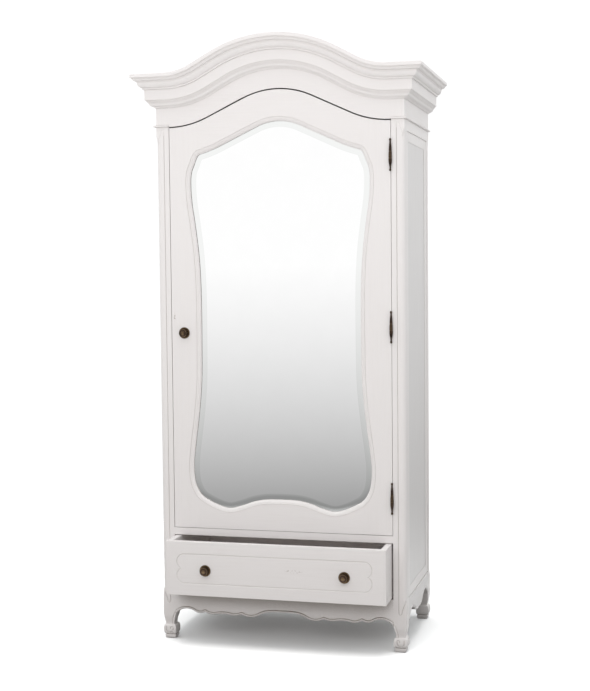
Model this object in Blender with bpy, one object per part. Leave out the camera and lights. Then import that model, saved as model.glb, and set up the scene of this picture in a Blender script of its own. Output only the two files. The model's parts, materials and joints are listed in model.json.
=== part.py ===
"""Armoire: one mirrored door above one drawer, on four scroll feet, under an arched cornice.

A standalone Blender 4.5 script in metres, +Z up, front towards -Y. The origin is on the floor, at the
middle of the bounding box. The door is closed and the drawer stands a little open.
"""

import math
from collections import namedtuple

import bmesh
import bpy

# ---- driving dimensions -------------------------------------------------------------------------
CARCASS_WIDTH = 0.930
CARCASS_DEPTH = 0.5312
DRAWER_PULL = 0.112  # how far the drawer stands open
KNOB_REACH = 0.026
FOOT_BULGE = 0.002  # the scrolls swell this far past the posts' faces
GAP = 0.0003  # between pieces that touch
SEAM = 0.003  # round the door

SIDE = CARCASS_WIDTH / 2
BACK = (CARCASS_DEPTH + DRAWER_PULL + KNOB_REACH - FOOT_BULGE) / 2
FRONT = BACK - CARCASS_DEPTH
MIDDLE = (FRONT + BACK) / 2
DRAWER_FACE = FRONT - DRAWER_PULL

POST_WIDTH = 0.0491
POST_DEPTH = 0.050
POST_TOP = 2.090
BAY = SIDE - POST_WIDTH  # half the opening between the posts
BETWEEN_POSTS = BAY - GAP
PANEL_HALF = CARCASS_DEPTH / 2 - POST_DEPTH - GAP
RAIL_THICK = 0.022

# A crown arc, a straight slope and a foot arc that meets the level: the outline of the arched parts.
Arch = namedtuple("Arch", "half foot rise crown_radius foot_radius")
DOOR_ARCH = Arch(half=0.411, foot=1.915, rise=0.125, crown_radius=0.305, foot_radius=0.335)
CROWN_ARCH = Arch(half=0.415, foot=2.105, rise=0.125, crown_radius=0.500, foot_radius=0.2265)

DOOR_HALF = BAY - SEAM
DOOR_BOTTOM = 0.4287
DOOR_THICK = 0.024
RAIL_LENGTH = 0.3017  # half the length of the door's rails
TOP_RAIL_WIDTH = 0.115  # from the door's arch down to the mirror
MOULDING_WIDTH = 0.0157
OPENING_MARGIN = 0.016  # from the mirror's sight line out to the door frame

MIDDLE_RAIL = (0.3988, DOOR_BOTTOM - SEAM)
APRON_TOP = 0.1945
SIDE_APRON_TOP = 0.190
SIDE_TOP_RAIL = 1.878
ASTRAGAL = (1.9163, 1.9233)
ASTRAGAL_REACH = 0.0083

DRAWER_HALF = 0.411
DRAWER_Z = (0.197, 0.3965)
DRAWER_LENGTH = 0.470
DRAWER_SIDE_THICK = 0.022
DRAWER_FRONT_THICK = 0.020
DRAWER_KNOB_X = 0.260
DRAWER_KNOB_Z = 0.292
DOOR_KNOB = (-0.366, 1.156)

PANEL_INNER = 0.448  # inner face of the side panels
PANEL_OUTER = 0.460
FLOOR_Z = (0.4035, 0.4215)
SHELF_Z = (1.690, 1.708)
BATTEN_THICK = 0.020
BATTEN_DROP = 0.070
HANGING_RAIL_Z = 1.652
HANGING_RAIL_RADIUS = 0.0125

HINGE_HEIGHTS = {"top": 1.7905, "middle": 1.179, "bottom": 0.562}
HINGE_RADIUS = 0.0062
HINGE_BORE = 0.0028
PIN_RADIUS = 0.0025
HINGE_X = BAY - SEAM / 2
HINGE_Y = FRONT - HINGE_RADIUS - 0.0006
LEAF_THICK = 0.001
LEAF_END = FRONT + 0.020
KNUCKLES = 0.036  # half the height of the three knuckles
MIDDLE_KNUCKLE = 0.0117

# ---- finishes: colour, roughness, metallic ------------------------------------------------------
FINISHES = {
    "paint": ((0.80, 0.79, 0.77), 0.45, 0.0),
    "inside": ((0.70, 0.68, 0.64), 0.60, 0.0),
    "mirror": ((0.90, 0.91, 0.92), 0.03, 1.0),
    "bronze": ((0.12, 0.08, 0.05), 0.40, 0.9),
    "steel": ((0.55, 0.55, 0.54), 0.35, 1.0),
}


def clear_scene():
    for obj in list(bpy.data.objects):
        bpy.data.objects.remove(obj, do_unlink=True)


def finish_material(name, finish):
    colour, roughness, metallic = FINISHES[finish]
    material = bpy.data.materials.new(f"{name}_{finish}")
    material.use_nodes = True
    shader = material.node_tree.nodes["Principled BSDF"]
    shader.inputs["Base Color"].default_value = (*colour, 1.0)
    shader.inputs["Roughness"].default_value = roughness
    shader.inputs["Metallic"].default_value = metallic
    return material


def add_piece(name, bm, finish, smooth=False):
    """A closed mesh becomes one named object with its faces pointing out."""
    bmesh.ops.recalc_face_normals(bm, faces=bm.faces)
    if bm.calc_volume(signed=True) < 0:
        bmesh.ops.reverse_faces(bm, faces=bm.faces)
    mesh = bpy.data.meshes.new(name)
    bm.to_mesh(mesh)
    bm.free()
    mesh.materials.append(finish_material(name, finish))
    if smooth:
        mesh.shade_smooth()
        mesh.set_sharp_from_angle(angle=math.radians(35))
    piece = bpy.data.objects.new(name, mesh)
    bpy.context.scene.collection.objects.link(piece)
    return piece


def hang_on(piece, pivot):
    """Parents a piece to its joint's empty and leaves it where it is."""
    piece.parent = pivot
    piece.matrix_parent_inverse = pivot.matrix_world.inverted()


def add_pivot(name, location):
    pivot = bpy.data.objects.new(name, None)
    pivot.location = location
    bpy.context.scene.collection.objects.link(pivot)
    bpy.context.view_layer.update()
    return pivot


# ---- ways to make a closed mesh -----------------------------------------------------------------
def prism(name, outline, plane, low, high, finish):
    """Extrudes a flat outline along the axis that its plane ('xy', 'xz' or 'yz') leaves out."""
    place = {
        "xy": lambda u, v, w: (u, v, w),
        "xz": lambda u, v, w: (u, w, v),
        "yz": lambda u, v, w: (w, u, v),
    }[plane]
    bm = bmesh.new()
    face = bm.faces.new([bm.verts.new(place(u, v, low)) for u, v in outline])
    grown = bmesh.ops.extrude_face_region(bm, geom=[face])["geom"]
    moved = [item for item in grown if isinstance(item, bmesh.types.BMVert)]
    along = place(0, 0, high - low)
    bmesh.ops.translate(bm, verts=moved, vec=along)
    return add_piece(name, bm, finish)


def board(name, x, y, z, finish="paint", edge=0.001):
    """A rectangular board between three pairs of planes, with its edges eased."""
    outline = [(x[0], y[0]), (x[1], y[0]), (x[1], y[1]), (x[0], y[1])]
    piece = prism(name, outline, "xy", z[0], z[1], finish)
    ease(piece, edge)
    return piece


def ease(piece, width):
    bevel = piece.modifiers.new("eased_edges", "BEVEL")
    bevel.width = width
    bevel.segments = 1
    bevel.limit_method = "ANGLE"
    bevel.angle_limit = math.radians(50)


def skin(name, rings, finish, closed=False, smooth=True):
    """Joins rings of points, all of one length: capped at the ends, or closed into a frame."""
    bm = bmesh.new()
    loops = [[bm.verts.new(point) for point in ring] for ring in rings]
    pairs = list(zip(loops, loops[1:]))
    if closed:
        pairs.append((loops[-1], loops[0]))
    count = len(rings[0])
    for first, second in pairs:
        for i in range(count):
            j = (i + 1) % count
            bm.faces.new((first[i], first[j], second[j], second[i]))
    if not closed:
        bm.faces.new(loops[0])
        bm.faces.new(loops[-1])
    return add_piece(name, bm, finish, smooth)


def turned(name, profile, centre, axis, finish, steps=24):
    """Turns (radius, height) points about an axis ('x', 'y' for -Y, or 'z') through centre.

    A profile that starts and ends on the axis makes a solid; any other is closed into a ring."""
    solid = profile[0][0] == 0
    points = profile[1:-1] if solid else profile
    cx, cy, cz = centre

    def place(radius, height, angle):
        side, up = radius * math.cos(angle), radius * math.sin(angle)
        return {
            "x": (cx + height, cy + side, cz + up),
            "y": (cx + side, cy - height, cz + up),
            "z": (cx + side, cy + up, cz + height),
        }[axis]

    bm = bmesh.new()
    angles = [2 * math.pi * i / steps for i in range(steps)]
    loops = [[bm.verts.new(place(r, h, a)) for a in angles] for r, h in points]
    pairs = list(zip(loops, loops[1:]))
    if not solid:
        pairs.append((loops[-1], loops[0]))
    for first, second in pairs:
        for i in range(steps):
            j = (i + 1) % steps
            bm.faces.new((first[i], first[j], second[j], second[i]))
    if solid:
        bm.faces.new(loops[0])
        bm.faces.new(loops[-1])
    return add_piece(name, bm, finish, smooth=True)


def boolean(piece, other, operation):
    step = piece.modifiers.new(operation.lower(), "BOOLEAN")
    step.operation = operation
    step.object = other
    step.solver = "EXACT"
    other.hide_render = True
    other.hide_set(True)
    other.display_type = "WIRE"


# ---- outlines -----------------------------------------------------------------------------------
def slope_angle(arch):
    """The angle of the straight slope that touches both of the arch's arcs."""
    radii = arch.crown_radius + arch.foot_radius
    climb = radii - arch.rise
    return math.atan2(arch.half, climb) - math.acos(radii / math.hypot(arch.half, climb))


def arch_point(arch, x, offset=0.0):
    """Height of the arch at x, for a line drawn offset below it and parallel to it."""
    x = abs(x)
    steepest = slope_angle(arch)
    crown, foot = arch.crown_radius - offset, arch.foot_radius + offset
    crown_centre = arch.foot + arch.rise - arch.crown_radius
    foot_centre = arch.foot + arch.foot_radius
    crown_end = crown * math.sin(steepest)
    foot_start = arch.half - foot * math.sin(steepest)
    if x <= crown_end:
        return crown_centre + math.sqrt(crown**2 - x**2)
    if x < foot_start:
        top = crown_centre + crown * math.cos(steepest)
        return top - (x - crown_end) * math.tan(steepest)
    if x < arch.half:
        return foot_centre - math.sqrt(foot**2 - (arch.half - x) ** 2)
    return arch.foot - offset


def arch_stations(arch, crown_steps, foot_steps):
    """(x, z, slope) along the arch from its left foot to its right foot."""
    steepest = slope_angle(arch)
    right = []
    for i in range(crown_steps + 1):
        angle = steepest * i / crown_steps
        x = arch.crown_radius * math.sin(angle)
        right.append((x, arch_point(arch, x), angle))
    for i in range(foot_steps + 1):
        angle = steepest * (1 - i / foot_steps)
        x = arch.half - arch.foot_radius * math.sin(angle)
        right.append((x, arch_point(arch, x), angle))
    left = [(-x, z, -angle) for x, z, angle in reversed(right[1:])]
    return left + right


def arch_line(arch, offset, reach, crown_steps=8, foot_steps=5):
    """Points of the arch, drawn offset below it, between -reach and reach."""
    line = []
    for x, z, angle in arch_stations(arch, crown_steps, foot_steps):
        moved = x - offset * math.sin(angle)
        if abs(moved) < reach - 1e-4:
            line.append((moved, z - offset * math.cos(angle)))
    end = arch_point(arch, reach, offset)
    return [(-reach, end), *line, (reach, end)]


def arc(start, end, sag, steps=4):
    """Points of a circular arc, without its start; sag is its rise to the left of the chord."""
    chord = math.dist(start, end)
    radius = (chord**2 / 4 + sag**2) / (2 * abs(sag))
    half_angle = math.asin(min(1.0, chord / (2 * radius)))
    along = ((end[0] - start[0]) / chord, (end[1] - start[1]) / chord)
    left = (-along[1], along[0])
    middle = ((start[0] + end[0]) / 2, (start[1] + end[1]) / 2)
    side = math.copysign(1.0, sag)
    points = []
    for i in range(1, steps + 1):
        angle = half_angle * (2 * i / steps - 1)
        run = radius * math.sin(angle)
        lift = side * (radius * math.cos(angle) - radius + abs(sag))
        x = middle[0] + along[0] * run + left[0] * lift
        z = middle[1] + along[1] * run + left[1] * lift
        points.append((x, z))
    return points


def scallops(start, waves, steps):
    """Right half of a scalloped edge, from its middle outwards: each wave is (x, z, sag)."""
    line = [start]
    for x, z, sag in waves:
        line += arc(line[-1], (x, z), sag, steps)
    return line


def smooth_line(points, steps):
    """A Catmull-Rom curve through the points."""
    padded = [points[0], *points, points[-1]]
    line = [points[0]]
    for a, b, c, d in zip(padded, padded[1:], padded[2:], padded[3:]):
        for i in range(1, steps + 1):
            t = i / steps
            weights = (
                -t / 2 + t**2 - t**3 / 2,
                1 - 5 * t**2 / 2 + 3 * t**3 / 2,
                t / 2 + 2 * t**2 - 3 * t**3 / 2,
                -(t**2) / 2 + t**3 / 2,
            )
            x = sum(w * p[0] for w, p in zip(weights, (a, b, c, d)))
            z = sum(w * p[1] for w, p in zip(weights, (a, b, c, d)))
            line.append((x, z))
    return line


# Right half of the mirror's sight line: from the top corner down the side and along the bottom.
MIRROR_SIDE = [
    (0.303, 1.8130),
    (0.312, 1.8020),
    (0.323, 1.7750),
    (0.334, 1.7450),
    (0.337, 1.7000),
    (0.333, 1.6350),
    (0.321, 1.5500),
    (0.308, 1.4350),
    (0.302, 1.3000),
    (0.302, 1.1000),
    (0.305, 0.9650),
    (0.317, 0.8400),
    (0.331, 0.7350),
    (0.338, 0.6600),
    (0.333, 0.6000),
    (0.317, 0.5620),
    (0.298, 0.5415),
]
MIRROR_BOTTOM = [
    (0.298, 0.5415),
    (0.250, 0.5175),
    (0.200, 0.5045),
    (0.150, 0.5160),
    (0.108, 0.5310),
    (0.060, 0.5405),
    (0.000, 0.5425),
]


def mirror_outline(offset=0.0, steps=2):
    """The sight line round the mirror, clockwise from the top middle, moved outwards by offset."""
    corner = MIRROR_SIDE[0][0]
    top = [p for p in arch_line(DOOR_ARCH, TOP_RAIL_WIDTH, corner) if p[0] > -1e-6]
    side = smooth_line(MIRROR_SIDE, steps)[1:]
    bottom = smooth_line(MIRROR_BOTTOM, steps)[1:]
    half = top + side + bottom
    outline = half + [(-x, z) for x, z in reversed(half[1:-1])]
    count = len(outline)
    moved = []
    for i, (x, z) in enumerate(outline):
        before, after = outline[i - 1], outline[(i + 1) % count]
        run = (after[0] - before[0], after[1] - before[1])
        length = math.hypot(*run)
        moved.append((x - run[1] / length * offset, z + run[0] / length * offset))
    return moved


def crossing(a, b, x):
    share = (x - a[0]) / (b[0] - a[0])
    return (x, a[1] + share * (b[1] - a[1]))


def clip(line, x, keep_right):
    """The stretch of a polyline on one side of the upright line at x, cut cleanly where it crosses."""
    kept = []
    for a, b in zip(line, line[1:]):
        a_in, b_in = ((p[0] > x) == keep_right for p in (a, b))
        if a_in and not kept:
            kept.append(a)
        if a_in != b_in:
            kept.append(crossing(a, b, x))
        if b_in:
            kept.append(b)
    return kept


# ---- carcass ------------------------------------------------------------------------------------
# Height, how far the outer faces stand back, the width to the inner faces, and the corner's radius.
LEG = [
    (0.000, 0.0060, 0.0430, 0.004),
    (0.004, 0.0035, 0.0450, 0.004),
    (0.016, 0.0030, 0.0455, 0.004),
    (0.018, 0.0060, 0.0430, 0.004),
    (0.022, 0.0010, 0.0465, 0.004),
    (0.030, -FOOT_BULGE, 0.0480, 0.004),
    (0.050, -FOOT_BULGE, 0.0480, 0.004),
    (0.058, 0.0010, 0.0460, 0.004),
    (0.0595, 0.0060, 0.0410, 0.004),
    (0.070, 0.0030, 0.0425, 0.004),
    (0.084, 0.0000, 0.0460, 0.003),
    (0.100, 0.0000, POST_WIDTH, 0.002),
    (0.150, 0.0000, POST_WIDTH, 0.002),
    (0.170, 0.0000, POST_WIDTH, 0.009),
    (0.192, 0.0000, POST_WIDTH, 0.020),
    (1.862, 0.0000, POST_WIDTH, 0.020),
    (1.884, 0.0000, POST_WIDTH, 0.009),
    (1.904, 0.0000, POST_WIDTH, 0.002),
    (POST_TOP, 0.0000, POST_WIDTH, 0.002),
]


def post_ring(z, inset, width, radius, side, end):
    """Section of a post at height z; side is -1 left or 1 right, end is -1 front or 1 back."""
    depth = width * POST_DEPTH / POST_WIDTH
    ring = [(width, depth), (width, inset)]
    for i in range(5):
        turn = math.radians(90 * i / 4)
        ring.append((inset + radius * (1 - math.sin(turn)), inset + radius * (1 - math.cos(turn))))
    ring.append((inset, depth))
    face = FRONT if end < 0 else BACK
    return [(side * (SIDE - u), face - end * v, z) for u, v in ring]


def make_posts():
    for end, end_name in ((-1, "front"), (1, "rear")):
        for side, side_name in ((-1, "left"), (1, "right")):
            rings = [post_ring(*station, side, end) for station in LEG]
            skin(f"post_{end_name}_{side_name}", rings, "paint")


SIDE_WAVES = [
    (0.080, 0.1170, -0.0060),
    (0.098, 0.1270, 0.0020),
    (PANEL_HALF, 0.1040, 0.0220),
]
FRONT_WAVES = [
    (0.062, 0.1190, 0.0015),
    (0.092, 0.1065, 0.0010),
    (0.157, 0.1070, -0.0085),
    (0.205, 0.1030, -0.0040),
    (0.252, 0.1030, 0.0022),
    (0.300, 0.1095, -0.0055),
    (0.340, 0.1085, -0.0055),
    (BETWEEN_POSTS, 0.0950, 0.0155),
]


def apron_outline(start_z, waves, half, top, centre):
    right = scallops((0.0, start_z), waves, 3)
    line = [(-x, z) for x, z in reversed(right[1:])] + right
    return [(centre + x, z) for x, z in [(-half, top), *line, (half, top)]]


def make_side(side, name):
    """Panel, bevelled moulding, top rail, apron, drawer runner and shelf batten of one side."""

    def across(near, far):
        return sorted((side * near, side * far))

    panel_y = (MIDDLE - PANEL_HALF, MIDDLE + PANEL_HALF)
    panel_z = (SIDE_APRON_TOP + GAP, SIDE_TOP_RAIL - GAP)
    board(f"side_panel_{name}", across(PANEL_INNER, PANEL_OUTER), panel_y, panel_z, edge=0.0005)
    board(f"side_top_rail_{name}", across(SIDE - RAIL_THICK, SIDE), panel_y, (SIDE_TOP_RAIL, POST_TOP))
    outline = apron_outline(0.106, SIDE_WAVES, PANEL_HALF, SIDE_APRON_TOP, MIDDLE)
    prism(f"side_apron_{name}", outline, "yz", *across(SIDE - RAIL_THICK, SIDE), "paint")
    rings = []
    for u, v in ((0, 0), (1, 0), (1, 1), (0, 1)):
        inward_y, inward_z = (1 - 2 * u), (1 - 2 * v)
        ring = []
        for inset, x in ((0, PANEL_OUTER + GAP), (0, SIDE), (0.036, 0.4614), (0.036, PANEL_OUTER + GAP)):
            ring.append((side * x, panel_y[u] + inward_y * inset, panel_z[v] + inward_z * inset))
        rings.append(ring)
    skin(f"side_moulding_{name}", rings, "paint", closed=True, smooth=False)
    runner_x = across(0.385, SIDE - RAIL_THICK - GAP)
    board(f"drawer_runner_{name}", runner_x, panel_y, (0.1755, DRAWER_Z[0] - GAP), "inside")
    batten_z = (SHELF_Z[0] - GAP - BATTEN_DROP, SHELF_Z[0] - GAP)
    batten_x = across(PANEL_INNER - GAP - BATTEN_THICK, PANEL_INNER - GAP)
    batten = board(f"shelf_batten_{name}", batten_x, panel_y, batten_z, "inside")
    bore = [(0, -0.03), (HANGING_RAIL_RADIUS + 0.0005, -0.03), (HANGING_RAIL_RADIUS + 0.0005, 0.03), (0, 0.03)]
    drill = turned(f"drill_{name}", bore, (side * 0.42, MIDDLE, HANGING_RAIL_Z), "x", "inside", 20)
    boolean(batten, drill, "DIFFERENCE")


def make_carcass_boards():
    full = (-BETWEEN_POSTS, BETWEEN_POSTS)
    board("middle_rail", full, (FRONT, FRONT + POST_DEPTH), MIDDLE_RAIL)
    outline = apron_outline(0.1215, FRONT_WAVES, BETWEEN_POSTS, APRON_TOP, 0.0)
    prism("front_apron", outline, "xz", FRONT, FRONT + RAIL_THICK, "paint")
    lower = arch_line(DOOR_ARCH, -SEAM / 2, BETWEEN_POSTS)
    upper = arch_line(CROWN_ARCH, SEAM, BETWEEN_POSTS)
    prism("head_board", lower + upper[::-1], "xz", FRONT, FRONT + RAIL_THICK, "paint")
    inner = FRONT + RAIL_THICK + GAP
    right = [(BAY, inner), (BAY, FRONT), (SIDE, FRONT), (SIDE, BACK)]
    outline = [(-x, y) for x, y in reversed(right)] + right
    prism("top_panel", outline, "xy", POST_TOP + GAP, POST_TOP + GAP + 0.012, "inside")
    board("rear_top_rail", full, (BACK - RAIL_THICK, BACK), (1.850, POST_TOP), "inside")
    board("rear_bottom_rail", full, (BACK - RAIL_THICK, BACK), (0.130, APRON_TOP), "inside")
    board("back_panel", full, (BACK - 0.016, BACK - 0.006), (APRON_TOP + GAP, 1.850 - GAP), "inside", 0.0005)
    reach, back_of_panel = PANEL_INNER - GAP, MIDDLE + PANEL_HALF
    right = [(reach, MIDDLE - PANEL_HALF), (reach, back_of_panel), (BETWEEN_POSTS, back_of_panel)]
    right.append((BETWEEN_POSTS, BACK - 0.016 - GAP))
    outline = right + [(-x, y) for x, y in reversed(right)]
    prism("compartment_floor", outline, "xy", *FLOOR_Z, "inside")
    board("hat_shelf", (-reach, reach), (MIDDLE - PANEL_HALF, back_of_panel), SHELF_Z, "inside")
    rail = [(0, -reach), (HANGING_RAIL_RADIUS, -reach), (HANGING_RAIL_RADIUS, reach), (0, reach)]
    turned("hanging_rail", rail, (0, MIDDLE, HANGING_RAIL_Z), "x", "steel", 20)
    catch_x = (-BETWEEN_POSTS, -BETWEEN_POSTS + 0.016)
    board("magnetic_catch", catch_x, (FRONT + 0.0262, FRONT + 0.062), (1.132, 1.180), "steel", 0.0015)


# Profiles of the crown mouldings: projection from the carcass and drop below the cornice's top.
CORNICE = [
    (GAP, 0.0),
    (0.0720, 0.0),
    (0.0740, 0.0020),
    (0.0740, 0.0110),
    (0.0720, 0.0130),
    (0.0670, 0.0135),
    (0.0665, 0.0190),
    (0.0620, 0.0232),
    (0.0540, 0.0250),
    (0.0540, 0.0290),
    (0.0500, 0.0330),
    (0.0455, 0.0415),
    (0.0385, 0.0490),
    (0.0380, 0.0532),
    (GAP, 0.0532),
]
FRIEZE = [
    (GAP, 0.0535),
    (0.0324, 0.0535),
    (0.0324, 0.0910),
    (0.0290, 0.0910),
    (0.0290, 0.0950),
    (0.0240, 0.0970),
    (0.0160, 0.1030),
    (0.0100, 0.1110),
    (0.0040, 0.1150),
    (0.0040, 0.1180),
    (GAP, 0.1180),
]


def crown_front(name, profile):
    """A moulding along the arched front, mitred at both corners."""
    level = CROWN_ARCH.foot
    rings = [[(-SIDE - reach, FRONT - reach, level - drop) for reach, drop in profile]]
    for x, z, angle in arch_stations(CROWN_ARCH, 8, 4):
        right, down = -math.sin(angle), -math.cos(angle)
        rings.append([(x + right * drop, FRONT - reach, z + down * drop) for reach, drop in profile])
    rings.append([(SIDE + reach, FRONT - reach, level - drop) for reach, drop in profile])
    skin(name, rings, "paint")


def crown_return(name, profile, side):
    level = CROWN_ARCH.foot
    rings = []
    for y_at in (lambda reach: FRONT - reach + 1.5 * GAP, lambda reach: BACK):
        rings.append([(side * (SIDE + reach), y_at(reach), level - drop) for reach, drop in profile])
    skin(name, rings, "paint")


def make_crown():
    for tier, profile in (("cornice", CORNICE), ("frieze", FRIEZE)):
        crown_front(f"{tier}_front", profile)
        crown_return(f"{tier}_left", profile, -1)
        crown_return(f"{tier}_right", profile, 1)


def make_astragal(side, name):
    """A half-round bead across one post and back along the side."""
    low, high = ASTRAGAL
    radius = (high - low) / 2
    profile = [(GAP, low)]
    for i in range(7):
        turn = math.radians(-90 + 180 * i / 6)
        reach = ASTRAGAL_REACH - radius + radius * math.cos(turn)
        profile.append((reach, (low + high) / 2 + radius * math.sin(turn)))
    profile.append((GAP, high))
    rings = [
        [(side * (BAY + GAP), FRONT - reach, z) for reach, z in profile],
        [(side * (SIDE + reach), FRONT - reach, z) for reach, z in profile],
        [(side * (SIDE + reach), BACK, z) for reach, z in profile],
    ]
    skin(f"astragal_{name}", rings, "paint")


# ---- door ---------------------------------------------------------------------------------------
def make_door_frame(pivot):
    opening = mirror_outline(OPENING_MARGIN)
    half = len(opening) // 2 + 1
    right_line = opening[:half]  # from the top middle down the right side to the bottom middle
    joint = RAIL_LENGTH + GAP
    lowest = min(p[1] for p in right_line)
    across = clip(arch_line(DOOR_ARCH, SEAM / 2, DOOR_HALF), joint, True)
    stile = across + [(DOOR_HALF, DOOR_BOTTOM), (joint, DOOR_BOTTOM)]
    stile += clip(right_line, joint, True)[::-1]
    flipped = [(-x, z) for x, z in reversed(stile)]
    back = FRONT + DOOR_THICK
    pieces = [
        prism("door_stile_right", stile, "xz", FRONT, back, "paint"),
        prism("door_stile_left", flipped, "xz", FRONT, back, "paint"),
    ]
    inner = clip(right_line, RAIL_LENGTH, False)
    sill = [p for p in inner if p[1] < lowest + 0.1]
    head = [p for p in inner if p[1] > lowest + 1.0]
    arched = arch_line(DOOR_ARCH, SEAM / 2, RAIL_LENGTH)
    head_full = [(-x, z) for x, z in reversed(head[1:])] + head
    sill_full = [(-x, z) for x, z in sill[:-1]] + sill[::-1]
    top_rail = arched + head_full[::-1]
    bottom_rail = [(-RAIL_LENGTH, DOOR_BOTTOM)] + sill_full + [(RAIL_LENGTH, DOOR_BOTTOM)]
    pieces.append(prism("door_top_rail", top_rail, "xz", FRONT, back, "paint"))
    pieces.append(prism("door_bottom_rail", bottom_rail, "xz", FRONT, back, "paint"))
    for piece in pieces:
        hang_on(piece, pivot)


def make_mirror(pivot):
    """Moulding, glass and backing board, one behind the other in the door's opening."""
    profile = [
        (MOULDING_WIDTH, 0.0010),
        (0.0125, 0.0010),
        (0.0110, 0.0035),
        (0.0050, 0.0060),
        (0.0000, 0.0095),
        (0.0000, 0.0120),
        (MOULDING_WIDTH, 0.0120),
    ]
    lines = [mirror_outline(margin) for margin, _ in profile]
    rings = []
    for i in range(len(lines[0])):
        ring = [(line[i][0], FRONT + depth, line[i][1]) for line, (_, depth) in zip(lines, profile)]
        rings.append(ring)
    plate = mirror_outline(MOULDING_WIDTH)
    pieces = [
        skin("mirror_moulding", rings, "paint", closed=True),
        prism("mirror", plate, "xz", FRONT + 0.0123, FRONT + 0.0163, "mirror"),
        prism("mirror_back", plate, "xz", FRONT + 0.0166, FRONT + 0.0226, "inside"),
    ]
    strike = board("catch_strike", (-0.4115, -0.3935), (FRONT + 0.0243, FRONT + 0.0258), (1.134, 1.178), "steel", 0.0003)
    for piece in [*pieces, strike]:
        hang_on(piece, pivot)


def knuckle(name, centre, low, high):
    wall = [(HINGE_BORE, low), (HINGE_RADIUS, low), (HINGE_RADIUS, high), (HINGE_BORE, high)]
    return turned(name, wall, centre, "z", "bronze", 14)


def leaf_outline(height, notch_low, notch_high, near, notched):
    """(y, z) outline of a leaf whose barrel edge steps back by the notch, or forward of it."""
    inner, outer = (near, notched)
    line = [(outer, notch_low), (outer, notch_high)]
    half = KNUCKLES
    edge = [(inner, -half), (inner, notch_low), *line, (inner, notch_high), (inner, half)]
    return [(y, height + z) for y, z in [*edge, (LEAF_END, half), (LEAF_END, -half)]]


def make_hinge(name, height, pivot):
    centre = (HINGE_X, HINGE_Y, height)
    inside_wall = HINGE_Y + HINGE_BORE + 0.0010
    clear_of_wall = HINGE_Y + HINGE_RADIUS + 0.0004
    notch = MIDDLE_KNUCKLE + GAP
    frame_line = leaf_outline(height, -notch - GAP, notch + GAP, inside_wall, clear_of_wall)
    frame_x = (HINGE_X + 0.0002, HINGE_X + 0.0002 + LEAF_THICK)
    frame_leaf = prism(f"hinge_{name}_frame_leaf", frame_line, "yz", *frame_x, "bronze")
    for tag, low, high in (("upper", notch, KNUCKLES), ("lower", -KNUCKLES, -notch)):
        boolean(frame_leaf, knuckle(f"knuckle_{name}_{tag}", centre, low, high), "UNION")
    door_line = leaf_outline(height, -MIDDLE_KNUCKLE + GAP, MIDDLE_KNUCKLE - GAP, clear_of_wall, inside_wall)
    door_x = (HINGE_X - 0.0002 - LEAF_THICK, HINGE_X - 0.0002)
    door_leaf = prism(f"hinge_{name}_door_leaf", door_line, "yz", *door_x, "bronze")
    ring = knuckle(f"knuckle_{name}_door", centre, -MIDDLE_KNUCKLE, MIDDLE_KNUCKLE)
    boolean(door_leaf, ring, "UNION")
    hang_on(ring, pivot)
    hang_on(door_leaf, pivot)
    start = KNUCKLES + GAP
    finial = [
        (PIN_RADIUS, start),
        (0.0050, start),
        (0.0050, start + 0.0025),
        (0.0030, start + 0.0045),
        (0.0042, start + 0.0075),
        (0.0030, start + 0.0105),
        (0.0044, start + 0.0150),
        (0.0040, start + 0.0185),
        (0.0016, start + 0.0212),
    ]
    tip = start + 0.0217
    lower = [(r, -h) for r, h in reversed(finial)]
    profile = [(0, -tip), *lower, *finial, (0, tip)]
    turned(f"hinge_{name}_pin", profile, centre, "z", "bronze", 12)


KNOB = [
    (0.0, 0.0),
    (0.0208, 0.0),
    (0.0210, 0.0016),
    (0.0192, 0.0032),
    (0.0166, 0.0024),
    (0.0096, 0.0036),
    (0.0064, 0.0070),
    (0.0062, 0.0115),
    (0.0100, 0.0145),
    (0.0141, 0.0172),
    (0.0146, 0.0198),
    (0.0124, 0.0232),
    (0.0070, 0.0255),
    (0.0020, KNOB_REACH),
    (0.0, KNOB_REACH),
]


def make_knob(name, x, face, z, pivot):
    """A turned knob on its rose, standing out of a face towards the front."""
    profile = [(r, h + GAP * (1 - h / KNOB_REACH)) for r, h in KNOB]
    knob = turned(name, profile, (x, face, z), "y", "bronze", 20)
    hang_on(knob, pivot)


# ---- drawer -------------------------------------------------------------------------------------
def make_drawer(pivot):
    front_back = DRAWER_FACE + DRAWER_FRONT_THICK
    end = DRAWER_FACE + DRAWER_LENGTH
    inner = DRAWER_HALF - DRAWER_SIDE_THICK
    width = (-inner + GAP, inner - GAP)
    pieces = [
        board("drawer_front", (-DRAWER_HALF, DRAWER_HALF), (DRAWER_FACE, front_back), DRAWER_Z),
        board("drawer_side_left", (-DRAWER_HALF, -inner), (front_back + GAP, end), DRAWER_Z),
        board("drawer_side_right", (inner, DRAWER_HALF), (front_back + GAP, end), DRAWER_Z),
        board("drawer_back", width, (end - 0.020, end - 0.002), (0.2133, 0.385), "inside"),
        board("drawer_bottom", width, (front_back + GAP, end - 0.002), (0.205, 0.213), "inside", 0.0005),
    ]
    for piece in pieces:
        hang_on(piece, pivot)
    make_knob("drawer_knob_left", -DRAWER_KNOB_X, DRAWER_FACE, DRAWER_KNOB_Z, pivot)
    make_knob("drawer_knob_right", DRAWER_KNOB_X, DRAWER_FACE, DRAWER_KNOB_Z, pivot)


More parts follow.
